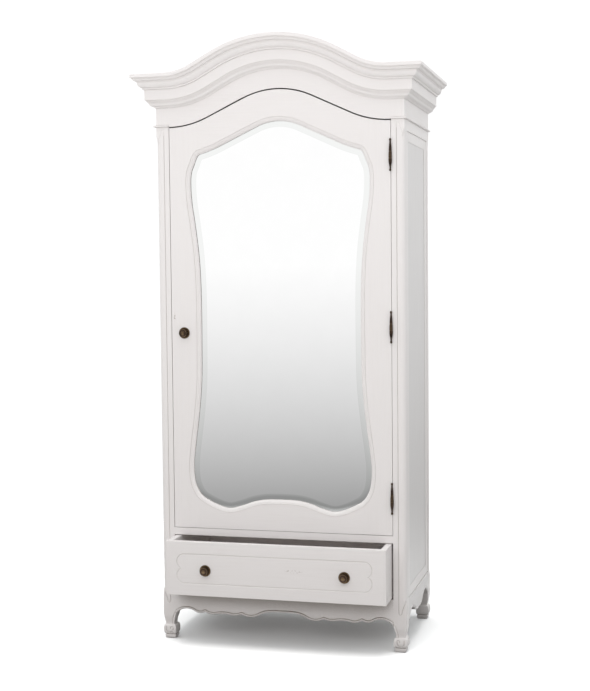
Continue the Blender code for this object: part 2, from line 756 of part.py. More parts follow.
def main():
    clear_scene()
    door_pivot = add_pivot("door_pivot", (HINGE_X, HINGE_Y, 0.0))
    drawer_pivot = add_pivot("drawer_pivot", (0.0, DRAWER_FACE, DRAWER_Z[0]))
    make_posts()
    for side, name in ((-1, "left"), (1, "right")):
        make_side(side, name)
        make_astragal(side, name)
    make_carcass_boards()
    make_crown()
    make_door_frame(door_pivot)
    make_mirror(door_pivot)
    for name, height in HINGE_HEIGHTS.items():
        make_hinge(name, height, door_pivot)
    make_knob("door_knob", DOOR_KNOB[0], FRONT, DOOR_KNOB[1], door_pivot)
    make_drawer(drawer_pivot)


main()
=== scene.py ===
"""Looks of the wardrobe: detailed meshes, procedural finishes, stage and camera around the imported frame."""

import json
import math
from collections import namedtuple

import bmesh
import bpy
import numpy as np
from mathutils import Matrix, Vector


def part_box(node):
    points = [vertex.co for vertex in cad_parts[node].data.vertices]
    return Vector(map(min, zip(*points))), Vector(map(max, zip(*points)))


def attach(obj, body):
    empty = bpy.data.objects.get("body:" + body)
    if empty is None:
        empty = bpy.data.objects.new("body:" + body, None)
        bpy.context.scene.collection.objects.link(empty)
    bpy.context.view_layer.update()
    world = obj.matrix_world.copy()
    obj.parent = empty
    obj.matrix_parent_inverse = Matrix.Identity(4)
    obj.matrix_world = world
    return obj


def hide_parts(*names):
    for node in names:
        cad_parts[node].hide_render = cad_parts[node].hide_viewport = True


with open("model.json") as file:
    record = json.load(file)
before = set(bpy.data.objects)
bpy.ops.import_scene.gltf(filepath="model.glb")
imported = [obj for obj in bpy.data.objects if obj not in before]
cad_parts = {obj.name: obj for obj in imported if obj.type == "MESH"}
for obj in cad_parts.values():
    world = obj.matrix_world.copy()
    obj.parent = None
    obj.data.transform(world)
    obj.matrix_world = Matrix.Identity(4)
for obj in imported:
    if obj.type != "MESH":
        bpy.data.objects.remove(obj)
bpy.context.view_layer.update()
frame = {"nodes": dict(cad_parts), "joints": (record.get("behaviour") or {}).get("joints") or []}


def ends(node, axis):
    """The low and the high side of a CAD node's box along one axis."""
    return [corner["xyz".index(axis)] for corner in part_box(node)]


def mm(*rows):
    """Rows of millimetres as tuples of metres."""
    return [tuple(value / 1000 for value in row) for row in rows]


# ---- sizes from the frame ----
GAP = 0.0003  # clearance the CAD leaves between neighbours
FRONT = ends("middle_rail", "y")[0]
BACK = ends("rear_top_rail", "y")[1]
MIDDLE = (FRONT + BACK) / 2
SIDE = ends("side_top_rail_right", "x")[1]
BAY = ends("middle_rail", "x")[1] + GAP
POST_WIDTH = SIDE - BAY
POST_TOP = ends("post_front_left", "z")[1]
RAIL_THICK = ends("front_apron", "y")[1] - FRONT
RAIL_Z = ends("middle_rail", "z")
DOOR_BACK = ends("door_bottom_rail", "y")[1]
DOOR_JOINT = ends("door_top_rail", "x")[1]
GLASS_FRONT, GLASS_BACK = ends("mirror", "y")
APRON_TOP = ends("front_apron", "z")[1]
PANEL_FACE = ends("side_panel_right", "x")[1]
PANEL_HALF = ends("side_panel_right", "y")[1] - MIDDLE
PANEL_Z = ends("side_panel_right", "z")
DRAWER_FACE, DRAWER_FRONT_BACK = ends("drawer_front", "y")
DRAWER_HALF = ends("drawer_front", "x")[1]
DRAWER_Z = ends("drawer_front", "z")
CROWN_LEVEL = ends("cornice_left", "z")[1]
CROWN_RISE = ends("cornice_front", "z")[1] - CROWN_LEVEL

SIDES = ((-1, "left"), (1, "right"))

# ---- sizes of the details ----
ARCH_SEAM = 0.0044  # the gaps round the door
HINGE_SEAM = 0.0010
LATCH_SEAM = 0.0014
SILL_SEAM = 0.0016
EASE = 0.0012  # rounding of a board's long edges

Arch = namedtuple("Arch", "half foot rise crown_radius foot_radius")
DOOR_ARCH = Arch(half=0.411, foot=1.915, rise=0.125, crown_radius=0.305, foot_radius=0.335)
CROWN_ARCH = Arch(0.415, CROWN_LEVEL, CROWN_RISE, 0.500, 0.2265)
MIRROR_DROP = 0.115  # from the door's arch down to the mirror's sight line
BEVEL_WIDTH = 0.021
BEVEL_DEPTH = 0.0011


# ---- mesh tools ----
def add_object(name, data):
    thing = bpy.data.objects.new(name, data)
    bpy.context.scene.collection.objects.link(thing)
    return thing


def finish_mesh(name, bm, material, smooth_angle=28):
    """A bmesh becomes one shaded object with its faces pointing out."""
    bmesh.ops.remove_doubles(bm, verts=bm.verts, dist=1e-6)
    bmesh.ops.recalc_face_normals(bm, faces=bm.faces)
    if bm.calc_volume(signed=True) < 0:
        bmesh.ops.reverse_faces(bm, faces=bm.faces)
    mesh = bpy.data.meshes.new(name)
    bm.to_mesh(mesh)
    bm.free()
    mesh.materials.append(material)
    mesh.shade_smooth()
    mesh.set_sharp_from_angle(angle=math.radians(smooth_angle))
    piece = add_object(name, mesh)
    weighted = piece.modifiers.new("flat_faces_first", "WEIGHTED_NORMAL")
    weighted.keep_sharp = True
    return piece


def place(piece, body, slot, *nodes):
    """Hangs a piece on its body and hides the CAD nodes it stands for."""
    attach(piece, body)
    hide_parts(*nodes)


def bridge(bm, loops, closed=False):
    """Joins each loop of vertices to the next one, and the last to the first if closed."""
    for first, second in zip(loops, loops[1:] + loops[:1] if closed else loops[1:]):
        for i in range(len(first)):
            j = (i + 1) % len(first)
            bm.faces.new((first[i], first[j], second[j], second[i]))


def loft(name, rings, material, closed=False):
    """A skin over rings of points, all of one length: capped at the ends, or joined into a frame."""
    bm = bmesh.new()
    loops = [[bm.verts.new(point) for point in ring] for ring in rings]
    bridge(bm, loops, closed)
    if not closed:
        bm.faces.new(loops[0])
        bm.faces.new(loops[-1][::-1])
    return finish_mesh(name, bm, material)


def add_prism(bm, outline, place_point, low, high):
    """Adds a flat outline extruded between two planes; place_point(u, v, w) gives the axes."""
    front, back = ([bm.verts.new(place_point(u, v, w)) for u, v in outline] for w in (low, high))
    bm.faces.new(front)
    bm.faces.new(back[::-1])
    bridge(bm, [front, back])


# How an outline's (u, v) and its depth w lie in space.
def xz_plane(u, v, w):
    return (u, w, v)


def yz_plane(u, v, w):
    return (w, u, v)


def xy_plane(u, v, w):
    return (u, v, w)


def plate(name, outline, place_point, low, high, material, soft):
    """A board cut to an outline. Its edges are eased where soft(start, end) allows."""
    bm = bmesh.new()
    add_prism(bm, outline, place_point, low, high)
    bmesh.ops.recalc_face_normals(bm, faces=bm.faces)
    sharp = []
    for item in bm.edges:
        turned_corner = item.calc_face_angle(0) > math.radians(50)
        if turned_corner and soft(item.verts[0].co, item.verts[1].co):
            sharp.append(item)
    bmesh.ops.bevel(bm, geom=sharp, offset=EASE, segments=2, profile=0.6, affect="EDGES")
    return finish_mesh(name, bm, material)


def add_turning(bm, profile, centre, axis, steps):
    """Adds a shape turned about an axis ('x', 'y' towards the front, or 'z') from (radius, height) points."""
    cx, cy, cz = centre
    solid = profile[0][0] == 0
    points = profile[1:-1] if solid else profile

    def spot(radius, height, angle):
        side, up = radius * math.cos(angle), radius * math.sin(angle)
        if axis == "x":
            return (cx + height, cy + side, cz + up)
        if axis == "y":
            return (cx + side, cy - height, cz + up)
        return (cx + side, cy + up, cz + height)

    angles = [2 * math.pi * i / steps for i in range(steps)]
    loops = [[bm.verts.new(spot(r, h, a)) for a in angles] for r, h in points]
    bridge(bm, loops, closed=not solid)
    if solid:
        for loop, height in ((loops[0], profile[0][1]), (loops[-1], profile[-1][1])):
            tip = bm.verts.new(spot(0, height, 0))
            for i in range(steps):
                bm.faces.new((loop[i], loop[(i + 1) % steps], tip))


# ---- lines ----
def arc(start, end, sag, steps=6):
    """Points of a circular arc, without its start; sag is its rise to the left of the chord."""
    chord = math.dist(start, end)
    radius = (chord**2 / 4 + sag**2) / (2 * abs(sag))
    half_angle = math.asin(min(1.0, chord / (2 * radius)))
    along = ((end[0] - start[0]) / chord, (end[1] - start[1]) / chord)
    left = (-along[1], along[0])
    middle = ((start[0] + end[0]) / 2, (start[1] + end[1]) / 2)
    side = math.copysign(1.0, sag)
    points = []
    for i in range(1, steps + 1):
        angle = half_angle * (2 * i / steps - 1)
        run = radius * math.sin(angle)
        lift = side * (radius * math.cos(angle) - radius + abs(sag))
        points.append(tuple(middle[k] + along[k] * run + left[k] * lift for k in (0, 1)))
    return points


def path(start, *moves, steps=6):
    """A line through (x, y) corners; a corner given as (x, y, sag) is reached along an arc."""
    line = [start]
    for move in moves:
        if len(move) == 3:
            line += arc(line[-1], move[:2], move[2], steps)
        else:
            line.append(move)
    return line


def smooth_line(points, steps):
    """A Catmull-Rom curve through the points."""
    padded = [points[0], *points, points[-1]]
    line = [points[0]]
    for a, b, c, d in zip(padded, padded[1:], padded[2:], padded[3:]):
        for i in range(1, steps + 1):
            t = i / steps
            weights = (
                -t / 2 + t**2 - t**3 / 2,
                1 - 5 * t**2 / 2 + 3 * t**3 / 2,
                t / 2 + 2 * t**2 - 3 * t**3 / 2,
                -(t**2) / 2 + t**3 / 2,
            )
            line.append(tuple(sum(w * p[k] for w, p in zip(weights, (a, b, c, d))) for k in (0, 1)))
    return line


def slope_angle(arch):
    """The angle of the straight slope that touches both of the arch's arcs."""
    radii = arch.crown_radius + arch.foot_radius
    climb = radii - arch.rise
    return math.atan2(arch.half, climb) - math.acos(radii / math.hypot(arch.half, climb))


def arch_height(arch, x, offset=0.0):
    """Height of the arch at x, for a line drawn offset below it and parallel to it."""
    x = abs(x)
    steepest = slope_angle(arch)
    crown, foot = arch.crown_radius - offset, arch.foot_radius + offset
    crown_centre = arch.foot + arch.rise - arch.crown_radius
    foot_centre = arch.foot + arch.foot_radius
    crown_end = crown * math.sin(steepest)
    foot_start = arch.half - foot * math.sin(steepest)
    if x <= crown_end:
        return crown_centre + math.sqrt(crown**2 - x**2)
    if x < foot_start:
        return crown_centre + crown * math.cos(steepest) - (x - crown_end) * math.tan(steepest)
    if x < arch.half:
        return foot_centre - math.sqrt(foot**2 - (arch.half - x) ** 2)
    return arch.foot - offset


def arch_stations(arch, crown_steps=26, foot_steps=14):
    """(x, z, slope) along the arch from its left foot to its right foot."""
    steepest = slope_angle(arch)
    right = []
    for i in range(crown_steps + 1):
        angle = steepest * i / crown_steps
        x = arch.crown_radius * math.sin(angle)
        right.append((x, arch_height(arch, x), angle))
    for i in range(foot_steps + 1):
        angle = steepest * (1 - i / foot_steps)
        x = arch.half - arch.foot_radius * math.sin(angle)
        right.append((x, arch_height(arch, x), angle))
    left = [(-x, z, -angle) for x, z, angle in reversed(right[1:])]
    return left + right


def arch_line(arch, offset, reach):
    """Points of the arch, drawn offset below it, between -reach and reach."""
    line = []
    for x, z, angle in arch_stations(arch):
        moved = x - offset * math.sin(angle)
        if abs(moved) < reach - 1e-4:
            line.append((moved, z - offset * math.cos(angle)))
    end = arch_height(arch, reach, offset)
    return [(-reach, end), *line, (reach, end)]


# Right half of the mirror's sight line: from the top corner down the side and along the bottom.
MIRROR_SIDE = mm(
    (303, 1813), (312, 1802), (323, 1775), (334, 1745), (337, 1700), (333, 1635), (321, 1550), (308, 1435),
    (302, 1300), (302, 1100), (305, 965), (317, 840), (331, 735), (338, 660), (333, 600), (317, 562),
    (298, 541.5),
)
MIRROR_BOTTOM = mm(
    (298, 541.5), (250, 517.5), (200, 504.5), (150, 516), (108, 531), (60, 540.5), (0, 542.5),
)


def resample(line, spacing):
    """The same closed line with its points evenly spaced."""
    points = np.array(line + line[:1])
    lengths = np.hypot(*np.diff(points, axis=0).T)
    run = np.concatenate([[0], np.cumsum(lengths)])
    count = round(run[-1] / spacing)
    at = np.linspace(0, run[-1], count, endpoint=False)
    return np.column_stack([np.interp(at, run, points[:, k]) for k in (0, 1)])


def mirror_sight_line():
    """The sight line round the mirror, clockwise from the top middle, as an array."""
    corner = MIRROR_SIDE[0][0]
    top = [p for p in arch_line(DOOR_ARCH, MIRROR_DROP, corner) if p[0] > -1e-6]
    half = top + smooth_line(MIRROR_SIDE, 8)[1:] + smooth_line(MIRROR_BOTTOM, 8)[1:]
    line = half + [(-x, z) for x, z in reversed(half[1:-1])]
    return resample(line, 0.006)


def offset_line(line, offset):
    """A closed clockwise line moved outwards. Points that would cross over slide to where the lines meet."""
    run = np.roll(line, -1, axis=0) - np.roll(line, 1, axis=0)
    run /= np.hypot(run[:, 0], run[:, 1])[:, None]
    moved = line + offset * np.column_stack([-run[:, 1], run[:, 0]])
    gaps = np.hypot(*(moved[:, None, :] - line[None, :, :]).transpose(2, 0, 1)).min(axis=1)
    good = gaps > abs(offset) - 2e-4
    if good.all():
        return moved
    index = np.arange(len(line))
    wrapped = np.concatenate([index[good] - len(line), index[good], index[good] + len(line)])
    values = np.concatenate([moved[good]] * 3)
    return np.column_stack([np.interp(index, wrapped, values[:, k]) for k in (0, 1)])


def line_distance(points, line):
    """Distance of each point from a polyline."""
    best = np.full(len(points), 1e9)
    for a, b in zip(line, line[1:]):
        a, run = np.array(a), np.array(b) - np.array(a)
        share = np.clip(((points - a) @ run) / (run @ run), 0, 1)
        best = np.minimum(best, np.hypot(*(points - a - share[:, None] * run).T))
    return best


def smoothstep(low, high, value):
    t = np.clip((value - low) / (high - low), 0, 1)
    return t * t * (3 - 2 * t)


# ---- materials ----
class Nodes:
    """A short way to write the node tree of a material or a world."""

    def __init__(self, owner):
        self.owner = owner
        owner.use_nodes = True
        self.tree = owner.node_tree

    def add(self, kind, inputs=None, **settings):
        node = self.tree.nodes.new("ShaderNode" + kind)
        for key, value in settings.items():
            setattr(node, key, value)
        for key, value in (inputs or {}).items():
            self.put(node.inputs[key], value)
        return node

    def put(self, socket, value):
        if isinstance(value, bpy.types.NodeSocket):
            self.tree.links.new(value, socket)
        else:
            socket.default_value = value

    def set(self, **inputs):
        for key, value in inputs.items():
            self.put(self.tree.nodes["Principled BSDF"].inputs[key.replace("_", " ")], value)

    def position(self, scale=(1, 1, 1)):
        where = self.add("TexCoord").outputs["Object"]
        return self.add("Mapping", {"Vector": where, "Scale": scale}).outputs["Vector"]

    def noise(self, where, scale, detail=4.0, roughness=0.55):
        inputs = {"Vector": where, "Scale": scale, "Detail": detail, "Roughness": roughness}
        return self.add("TexNoise", inputs).outputs["Fac"]

    def span(self, value, low, high, to_low, to_high):
        """Maps low..high of a value to to_low..to_high, clamped."""
        inputs = {"Value": value, "From Min": low, "From Max": high, "To Min": to_low, "To Max": to_high}
        return self.add("MapRange", inputs).outputs["Result"]

    def math(self, operation, a, b):
        return self.add("Math", {0: a, 1: b}, operation=operation).outputs[0]

    def vector(self, operation, a, b=(0, 0, 0)):
        return self.add("VectorMath", {0: a, 1: b}, operation=operation).outputs

    def mix(self, share, a, b):
        """Colour a where share is 0, and b where it is 1."""
        a, b = (c if isinstance(c, bpy.types.NodeSocket) else (*c, 1) for c in (a, b))
        return self.add("Mix", {"Factor": share, 6: a, 7: b}, data_type="RGBA").outputs[2]

    def bump(self, height, distance, strength=1.0, under=None):
        inputs = {"Height": height, "Distance": distance, "Strength": strength}
        if under is not None:
            inputs["Normal"] = under
        return self.add("Bump", inputs).outputs["Normal"]

    def crevices(self, reach, tight, open_air, most):
        """Up to most in a corner narrower than reach, 0 in the open."""
        node = self.add("AmbientOcclusion", {"Distance": reach}, samples=8)
        return self.span(node.outputs["AO"], tight, open_air, most, 0.0)

    def attribute(self, name):
        return self.add("Attribute", attribute_name=name).outputs["Fac"]


def new_material(name):
    return Nodes(bpy.data.materials.new(name))


MIRROR_SILVER = 0.93
MIRROR_BEVEL = 0.84
PAINT = (0.818, 0.779, 0.769)
PAINT_THIN = (0.780, 0.737, 0.722)
GLAZE_AND_SHADE = (0.47, 0.44, 0.41)
UNDERCOAT = (0.20, 0.13, 0.08)
OVERHANG_SHADOW = (0.17, 0.135, 0.10)
SEAM_SHADOW = (0.035, 0.028, 0.025)
WASH, GROWTH_RING = (0.61, 0.55, 0.47), (0.47, 0.395, 0.31)
PORE, INNER_CORNER_SHADE = (0.30, 0.24, 0.18), (0.22, 0.18, 0.14)
PATINA, WORN_PATINA, RUBBED_AND_HIGHLIT_BRONZE = (0.024, 0.014, 0.011), (0.052, 0.033, 0.026), (0.44, 0.30, 0.155)
STEEL_LINE, STEEL_FACE = (0.50, 0.50, 0.49), (0.62, 0.62, 0.61)
# Where glaze and painted shade are laid: how far each looks for a neighbour, and how enclosed is fully in and
# fully out.
OVERHANG = (0.13, 0.48, 0.86)
CORNER = (0.0035, 0.60, 0.92)
OPEN_SEAM = (0.016, 0.10, 0.42)
# Noise scale that stretches streaks along the grain.
ALONG = {"x": (9, 260, 260), "y": (260, 9, 260), "z": (260, 260, 9)}


def painted_wood(name, grain, chips=None, tone=(1, 1, 1), shade=0.0, seam_shade=0.0, glaze_and_shade=0.26):
    """Brushed satin paint: streaks along the grain, a thin glaze and painted shade in tight corners, and
    chips at one spot.

    Chips are (centre, reach). Shade paints a brown shadow where something overhangs it, and seam shade
    paints the inside of an open seam black as its shadow.
    """
    m = new_material(name)
    streaks = m.noise(m.position(ALONG[grain]), 1.0, 3.0)
    mottle = m.noise(m.position(), 7.0, 3.0)
    fine = m.noise(m.position(), 900.0, 2.0)
    waves = m.noise(m.position(), 22.0, 2.0)
    thin = m.math("MULTIPLY", m.span(streaks, 0.42, 0.70, 0, 0.5), m.span(mottle, 0.35, 0.65, 0.25, 1))
    full, worn = [[c * t for c, t in zip(coat, tone)] for coat in (PAINT, PAINT_THIN)]
    colour = m.mix(thin, full, worn)
    if shade:
        # painted shade: browns the paint under an overhang
        colour = m.mix(m.crevices(*OVERHANG, shade), colour, OVERHANG_SHADOW)
    # glaze with painted shade: darker in tight corners
    colour = m.mix(m.crevices(*CORNER, glaze_and_shade), colour, GLAZE_AND_SHADE)
    if seam_shade:
        # painted shadow: blackens the inside of an open seam
        colour = m.mix(m.crevices(*OPEN_SEAM, seam_shade), colour, SEAM_SHADOW)
    if chips:
        centre, reach = chips
        away = m.vector("SUBTRACT", m.position(), centre)[0]
        scaled = m.vector("MULTIPLY", away, [1 / r for r in reach])[0]
        length = m.vector("LENGTH", scaled)["Value"]
        spots = m.noise(m.position((120, 120, 420)), 1.0, 2.0)
        here = m.math("MULTIPLY", m.span(length, 0.5, 1.0, 1, 0), m.span(spots, 0.56, 0.64, 0, 0.65))
        colour = m.mix(here, colour, UNDERCOAT)
    height = m.math("ADD", m.math("MULTIPLY", streaks, 0.6), m.math("MULTIPLY", fine, 0.25))
    normal = m.bump(waves, 0.0006, 0.5)
    normal = m.bump(height, 0.00022, 0.6, normal)
    m.set(Base_Color=colour, Roughness=m.span(streaks, 0.3, 0.7, 0.36, 0.50), Normal=normal)
    m.set(Specular_IOR_Level=0.42, Coat_Weight=0.05, Coat_Roughness=0.3)
    return m.owner


def inner_wood(name, grain):
    """Bare wood under a thin pale wash: long grain lines, darker at the growth rings, with painted shade in
    its corners.
    """
    m = new_material(name)
    scale = tuple(s / 8 if s > 100 else s / 5 for s in ALONG[grain])
    rings = m.noise(m.position(scale), 1.0, 6.0, 0.6)
    pores = m.noise(m.position(ALONG[grain]), 2.2, 2.0)
    colour = m.mix(m.span(rings, 0.35, 0.65, 0, 1), WASH, GROWTH_RING)
    colour = m.mix(m.span(pores, 0.58, 0.70, 0, 0.35), colour, PORE)
    # painted shade: darker in corners
    colour = m.mix(m.math("MULTIPLY", m.crevices(0.01, 0.55, 0.93, 1.0), 0.5), colour, INNER_CORNER_SHADE)
    height = m.math("SUBTRACT", m.math("MULTIPLY", rings, 0.4), m.span(pores, 0.55, 0.7, 0, 0.6))
    m.set(Base_Color=colour, Roughness=m.span(rings, 0.3, 0.7, 0.52, 0.68))
    m.set(Normal=m.bump(height, 0.0004, 0.6))
    return m.owner


def mirror_glass():
    """Silvered glass, nearly perfect; its bevelled border gives back a little less."""
    m = new_material("mirror_silver")
    haze = m.noise(m.position(), 14.0, 3.0)
    silver = m.mix(m.span(haze, 0.3, 0.7, 0, 1), (MIRROR_SILVER - 0.01,) * 3, (MIRROR_SILVER,) * 3)
    border = (MIRROR_BEVEL, MIRROR_BEVEL * 1.01, MIRROR_BEVEL)
    m.set(Base_Color=m.mix(m.attribute("bevel"), silver, border))
    m.set(Metallic=1.0, Roughness=m.span(haze, 0.4, 0.8, 0.004, 0.02))
    return m.owner


def bronze():
    """Antique bronze: dark patina in the hollows, and warmer metal where hands rub it and as painted
    highlights.
    """
    m = new_material("antique_bronze")
    patina = m.noise(m.position(), 420.0, 5.0)
    scuffs = m.noise(m.position((400, 400, 1400)), 1.0, 3.0)
    # lighter metal from the wear attribute: rubbed wear and painted highlights
    rubbed_and_highlit = m.math("MULTIPLY", m.attribute("wear_and_highlight"), m.span(patina, 0.30, 0.60, 0.55, 1))
    colour = m.mix(m.span(patina, 0.35, 0.65, 0, 1), PATINA, WORN_PATINA)
    colour = m.mix(rubbed_and_highlit, colour, RUBBED_AND_HIGHLIT_BRONZE)
    m.set(Base_Color=colour, Metallic=0.9, Roughness=m.span(scuffs, 0.3, 0.7, 0.20, 0.36))
    m.set(Normal=m.bump(patina, 0.0002, 0.5))
    return m.owner


def satin_steel():
    """Steel with fine lines round the rail."""
    m = new_material("satin_steel")
    lines = m.noise(m.position((12, 900, 900)), 1.0, 3.0)
    m.set(Base_Color=m.mix(lines, STEEL_LINE, STEEL_FACE), Metallic=1.0)
    m.set(Roughness=m.span(lines, 0.3, 0.7, 0.24, 0.40), Normal=m.bump(lines, 0.0001, 0.3))
    return m.owner


PAINT_UP = painted_wood("paint_brushed_upright", "z")
PAINT_ACROSS = painted_wood("paint_brushed_across", "x")
PAINT_DEEP = painted_wood("paint_brushed_front_to_back", "y")
PAINT_DRAWER = painted_wood("paint_drawer_front", "x", ((0.075, DRAWER_FACE, 0.305), (0.040, 0.03, 0.007)))
# the seam over the door is painted black inside as its shadow
PAINT_ARCH = painted_wood("paint_along_arch", "x", seam_shade=0.95)
# stronger glaze and painted shade in the posts' carved lines
PAINT_POST = painted_wood("paint_post", "z", glaze_and_shade=0.60)
# the darker tone of the side aprons and side panels is painted shade
PAINT_SIDE_APRON_SHADED = painted_wood("paint_side_apron_shaded", "y", tone=(0.88, 0.885, 0.885))
PAINT_PANEL_SHADED = painted_wood("paint_side_panel_shaded", "z", tone=(0.88, 0.890, 0.893))
# painted shadow of the drawer on the front apron, brown under its overhang
PAINT_APRON = painted_wood("paint_front_apron", "x", shade=1.0, glaze_and_shade=0.08)
PAINT_STILE = painted_wood("paint_knob_stile", "z", ((-0.4035, FRONT, 1.215), (0.004, 0.02, 0.020)))
INNER_UP = inner_wood("washed_wood_upright", "z")
INNER_ACROSS = inner_wood("washed_wood_across", "x")
INNER_DEEP = inner_wood("washed_wood_front_to_back", "y")
MIRROR = mirror_glass()
BRONZE = bronze()
STEEL = satin_steel()


# ---- posts ----
# Height, how far the outer faces stand back, the width to the inner faces, and the corner's radius.
LEG = mm(
    (0, 8.5, 40.5, 5), (2, 5.8, 43, 4), (8, 4, 44.8, 4), (12.8, 3.2, 45.6, 4), (14.2, 4, 44.8, 4),
    (15.2, 7.2, 41.8, 4), (16.4, 7.2, 41.8, 4), (17.6, 3.5, 45, 5), (21, 0.5, 47.4, 6), (28, -1.5, 48.4, 7),
    (37, -1.9, 48.4, 7), (44, -1.2, 47.8, 6), (50, 0.4, 46.4, 5), (52.6, 2.4, 44.5, 4), (54, 6, 40.5, 3),
    (60, 5.6, 40.2, 3), (72, 3.4, 41.8, 3), (83, 1.2, 45.2, 3), (96, 0.2, 48.5, 2),
)
LEG.append((0.106, 0, POST_WIDTH, 0.0015))
TONGUE = (0.166, 0.206)  # the corner's rounding grows over this height
UPPER_TONGUE = (1.852, 1.892)
ROUND_RADIUS = 0.0175
POST_DEEP = 0.050
QUIRK = 0.0292  # from the outer faces
QUIRK_START = 0.160
TONGUE_SUM = 2.0455  # a height on the lower tongue plus that of its mirror image on the upper one
DRAWER_BAY = (APRON_TOP, RAIL_Z[0])
DOOR_BAY = (RAIL_Z[1], 1.9165)
# Carved lines, as (distance from the outer faces, height).
HOOK_BEND = mm((29, 147), (26.2, 139.5), (21.5, 139.5), (18.2, 145), (16.5, 154))
HOOK_TAIL = mm((16.5, 154), (10.5, 169), (4.5, 183), (0, 192))
LOWER_HOOK = smooth_line([(QUIRK, QUIRK_START), *HOOK_BEND], 5) + smooth_line(HOOK_TAIL, 4)[1:]
UPPER_HOOK = [(t, TONGUE_SUM - z) for t, z in LOWER_HOOK]
QUIRK_LINE = [(QUIRK, QUIRK_START), (QUIRK, TONGUE_SUM - QUIRK_START)]
LEG_CURVE = mm((43.2, 96), (38.5, 85), (35, 74), (33.8, 64), (33.5, 54.5))
LEG_BEAD = smooth_line([(POST_WIDTH, 0.1035), *LEG_CURVE], 3)
VOLUTE = smooth_line(mm((10.5, 44), (10.2, 34), (14, 26.2), (23, 23.6), (32.5, 26.2), (37, 35)), 5)
VOLUTE_EYE = smooth_line(mm((37, 35), (36, 44), (29, 45), (27, 37)), 4)
# Line, half its width and its depth. The last one is on the front posts only.
CARVINGS = [
    (QUIRK_LINE, 0.0016, 0.0020),
    (LOWER_HOOK, 0.0018, 0.0024),
    (UPPER_HOOK, 0.0018, 0.0011),
    (VOLUTE, 0.0024, 0.0032),
    (VOLUTE_EYE, 0.0022, 0.0026),
    (LEG_BEAD, 0.0022, 0.0028),
]


def leg_at(z):
    """Inset, width and corner radius of a post at each height."""
    table = np.array(LEG)
    inset, width, radius = (np.interp(z, table[:, 0], table[:, k]) for k in (1, 2, 3))
    rounded = smoothstep(*TONGUE, z) * (1 - smoothstep(*UPPER_TONGUE, z))
    return inset, width, radius + (ROUND_RADIUS - radius) * rounded


def post_heights():
    """Heights at which a post's section is sampled, close together where it is carved."""
    fine = 0.0013
    levels = [0, 0.064, 0.132, 0.214, *RAIL_Z, 1.830, 1.914, POST_TOP]
    heights = []
    for low, high, step in zip(levels, levels[1:], (fine, 0.003, fine, 0.09, 0.03, 0.2, fine, 0.06)):
        heights += list(np.linspace(low, high, max(2, round((high - low) / step)), endpoint=False))
    heights += [level + by for level in DRAWER_BAY + DOOR_BAY for by in (-0.0005, 0.0005)]
    return np.array(sorted(set(heights)) + [POST_TOP])


def across_face():
    """Distances from the corner at which a post's face is sampled, close together at the quirk."""
    wide = np.linspace(POST_WIDTH, QUIRK + 0.003, 12, endpoint=False)
    close = QUIRK + np.array([0.0030, 0.0022, 0.0014, 0.0007, 0.0, -0.0007, -0.0014, -0.0022])
    return np.concatenate([wide, close, np.linspace(QUIRK - 0.003, 0, 25)])


def post_grid(front_post):
    """Heights, widths, and the points of the sections as distances in from the post's two outer faces."""
    z = post_heights()
    inset, width, radius = leg_at(z)
    t = across_face()
    grid_t = t[None, :] * ((width - inset) / POST_WIDTH)[:, None]
    grid_z = np.repeat(z[:, None], len(t), axis=1)
    r = np.repeat(radius[:, None], len(t), axis=1)
    turn = np.radians(45 + 45 * np.clip(grid_t / r, 0, 1))
    along = np.where(grid_t < r, r * (1 - np.cos(turn)), grid_t)
    sunk = np.where(grid_t < r, r * (1 - np.sin(turn)), 0)
    flat = np.column_stack([(grid_t + inset[:, None]).ravel(), grid_z.ravel()])
    carved = 0
    for line, half_width, depth in CARVINGS if front_post else CARVINGS[:-1]:
        carved = np.maximum(carved, depth * np.clip(1 - line_distance(flat, line) / half_width, 0, 1))
    carved = carved.reshape(grid_t.shape)
    u = inset[:, None] + along + carved * np.cos(turn)
    v = inset[:, None] + sunk + carved * np.sin(turn)
    return z, width, u, v


def open_side(z):
    """1 where a post's inner edge is free, 0 where a rail meets it."""
    return sum((z > low) * (z < high) for low, high in (DRAWER_BAY, DOOR_BAY))


def make_post(name, side, end):
    """side is -1 left or 1 right, end is -1 front or 1 rear."""
    z, width, u, v = post_grid(end < 0)
    face = FRONT if end < 0 else BACK
    ease = EASE * open_side(z) if end < 0 else 0 * z
    rings = []
    for i, height in enumerate(z):
        deep = width[i] * POST_DEEP / POST_WIDTH
        ring = [(width[i], deep), (width[i], v[i, 0] + ease[i])]
        ring += [(width[i] - ease[i] * 0.3, v[i, 0] + ease[i] * 0.3), (u[i, 0] - ease[i], v[i, 0])]
        ring += list(zip(u[i, 1:], v[i, 1:]))
        ring += list(zip(v[i, -2::-1], u[i, -2::-1]))
        ring += [(v[i, 0], deep)]
        rings.append([(side * (SIDE - a), face - end * b, height) for a, b in ring])
    post = loft(name, rings, PAINT_POST)
    place(post, "carcass", "painted_wood", name)


def make_posts():
    for end, end_name in ((-1, "front"), (1, "rear")):
        for side, side_name in SIDES:
            make_post(f"post_{end_name}_{side_name}", side, end)


# ---- rails and aprons ----
# Corners of the scallops from the middle outwards; a third value is the sag of the arc that reaches one.
SIDE_WAVES = mm((0, 106), (80, 117, -6), (98, 127, 2))
SIDE_WAVES.append((PANEL_HALF, 0.1040, 0.0220))
FRONT_WAVES = mm(
    (0, 121.5), (62, 119, 1.5), (92, 106.5, 1), (157, 107, -8.5), (205, 103, -4), (252, 103, 2.2),
    (300, 109.5, -5.5), (340, 108.5, -5.5),
)
FRONT_WAVES.append((BAY, 0.0950, 0.0155))
# Height above the scalloped edge and depth behind the face, round the bead that follows the edge.
APRON_BEAD = mm(
    (0, 4), (0, 2.2), (0.8, 1), (2.6, -0.3), (4.4, -1.1), (6, -1.2), (7.2, -0.5), (8, 0.8), (8.6, 1.3),
    (10, 0.6), (12.4, 0.1), (16, 0),
)


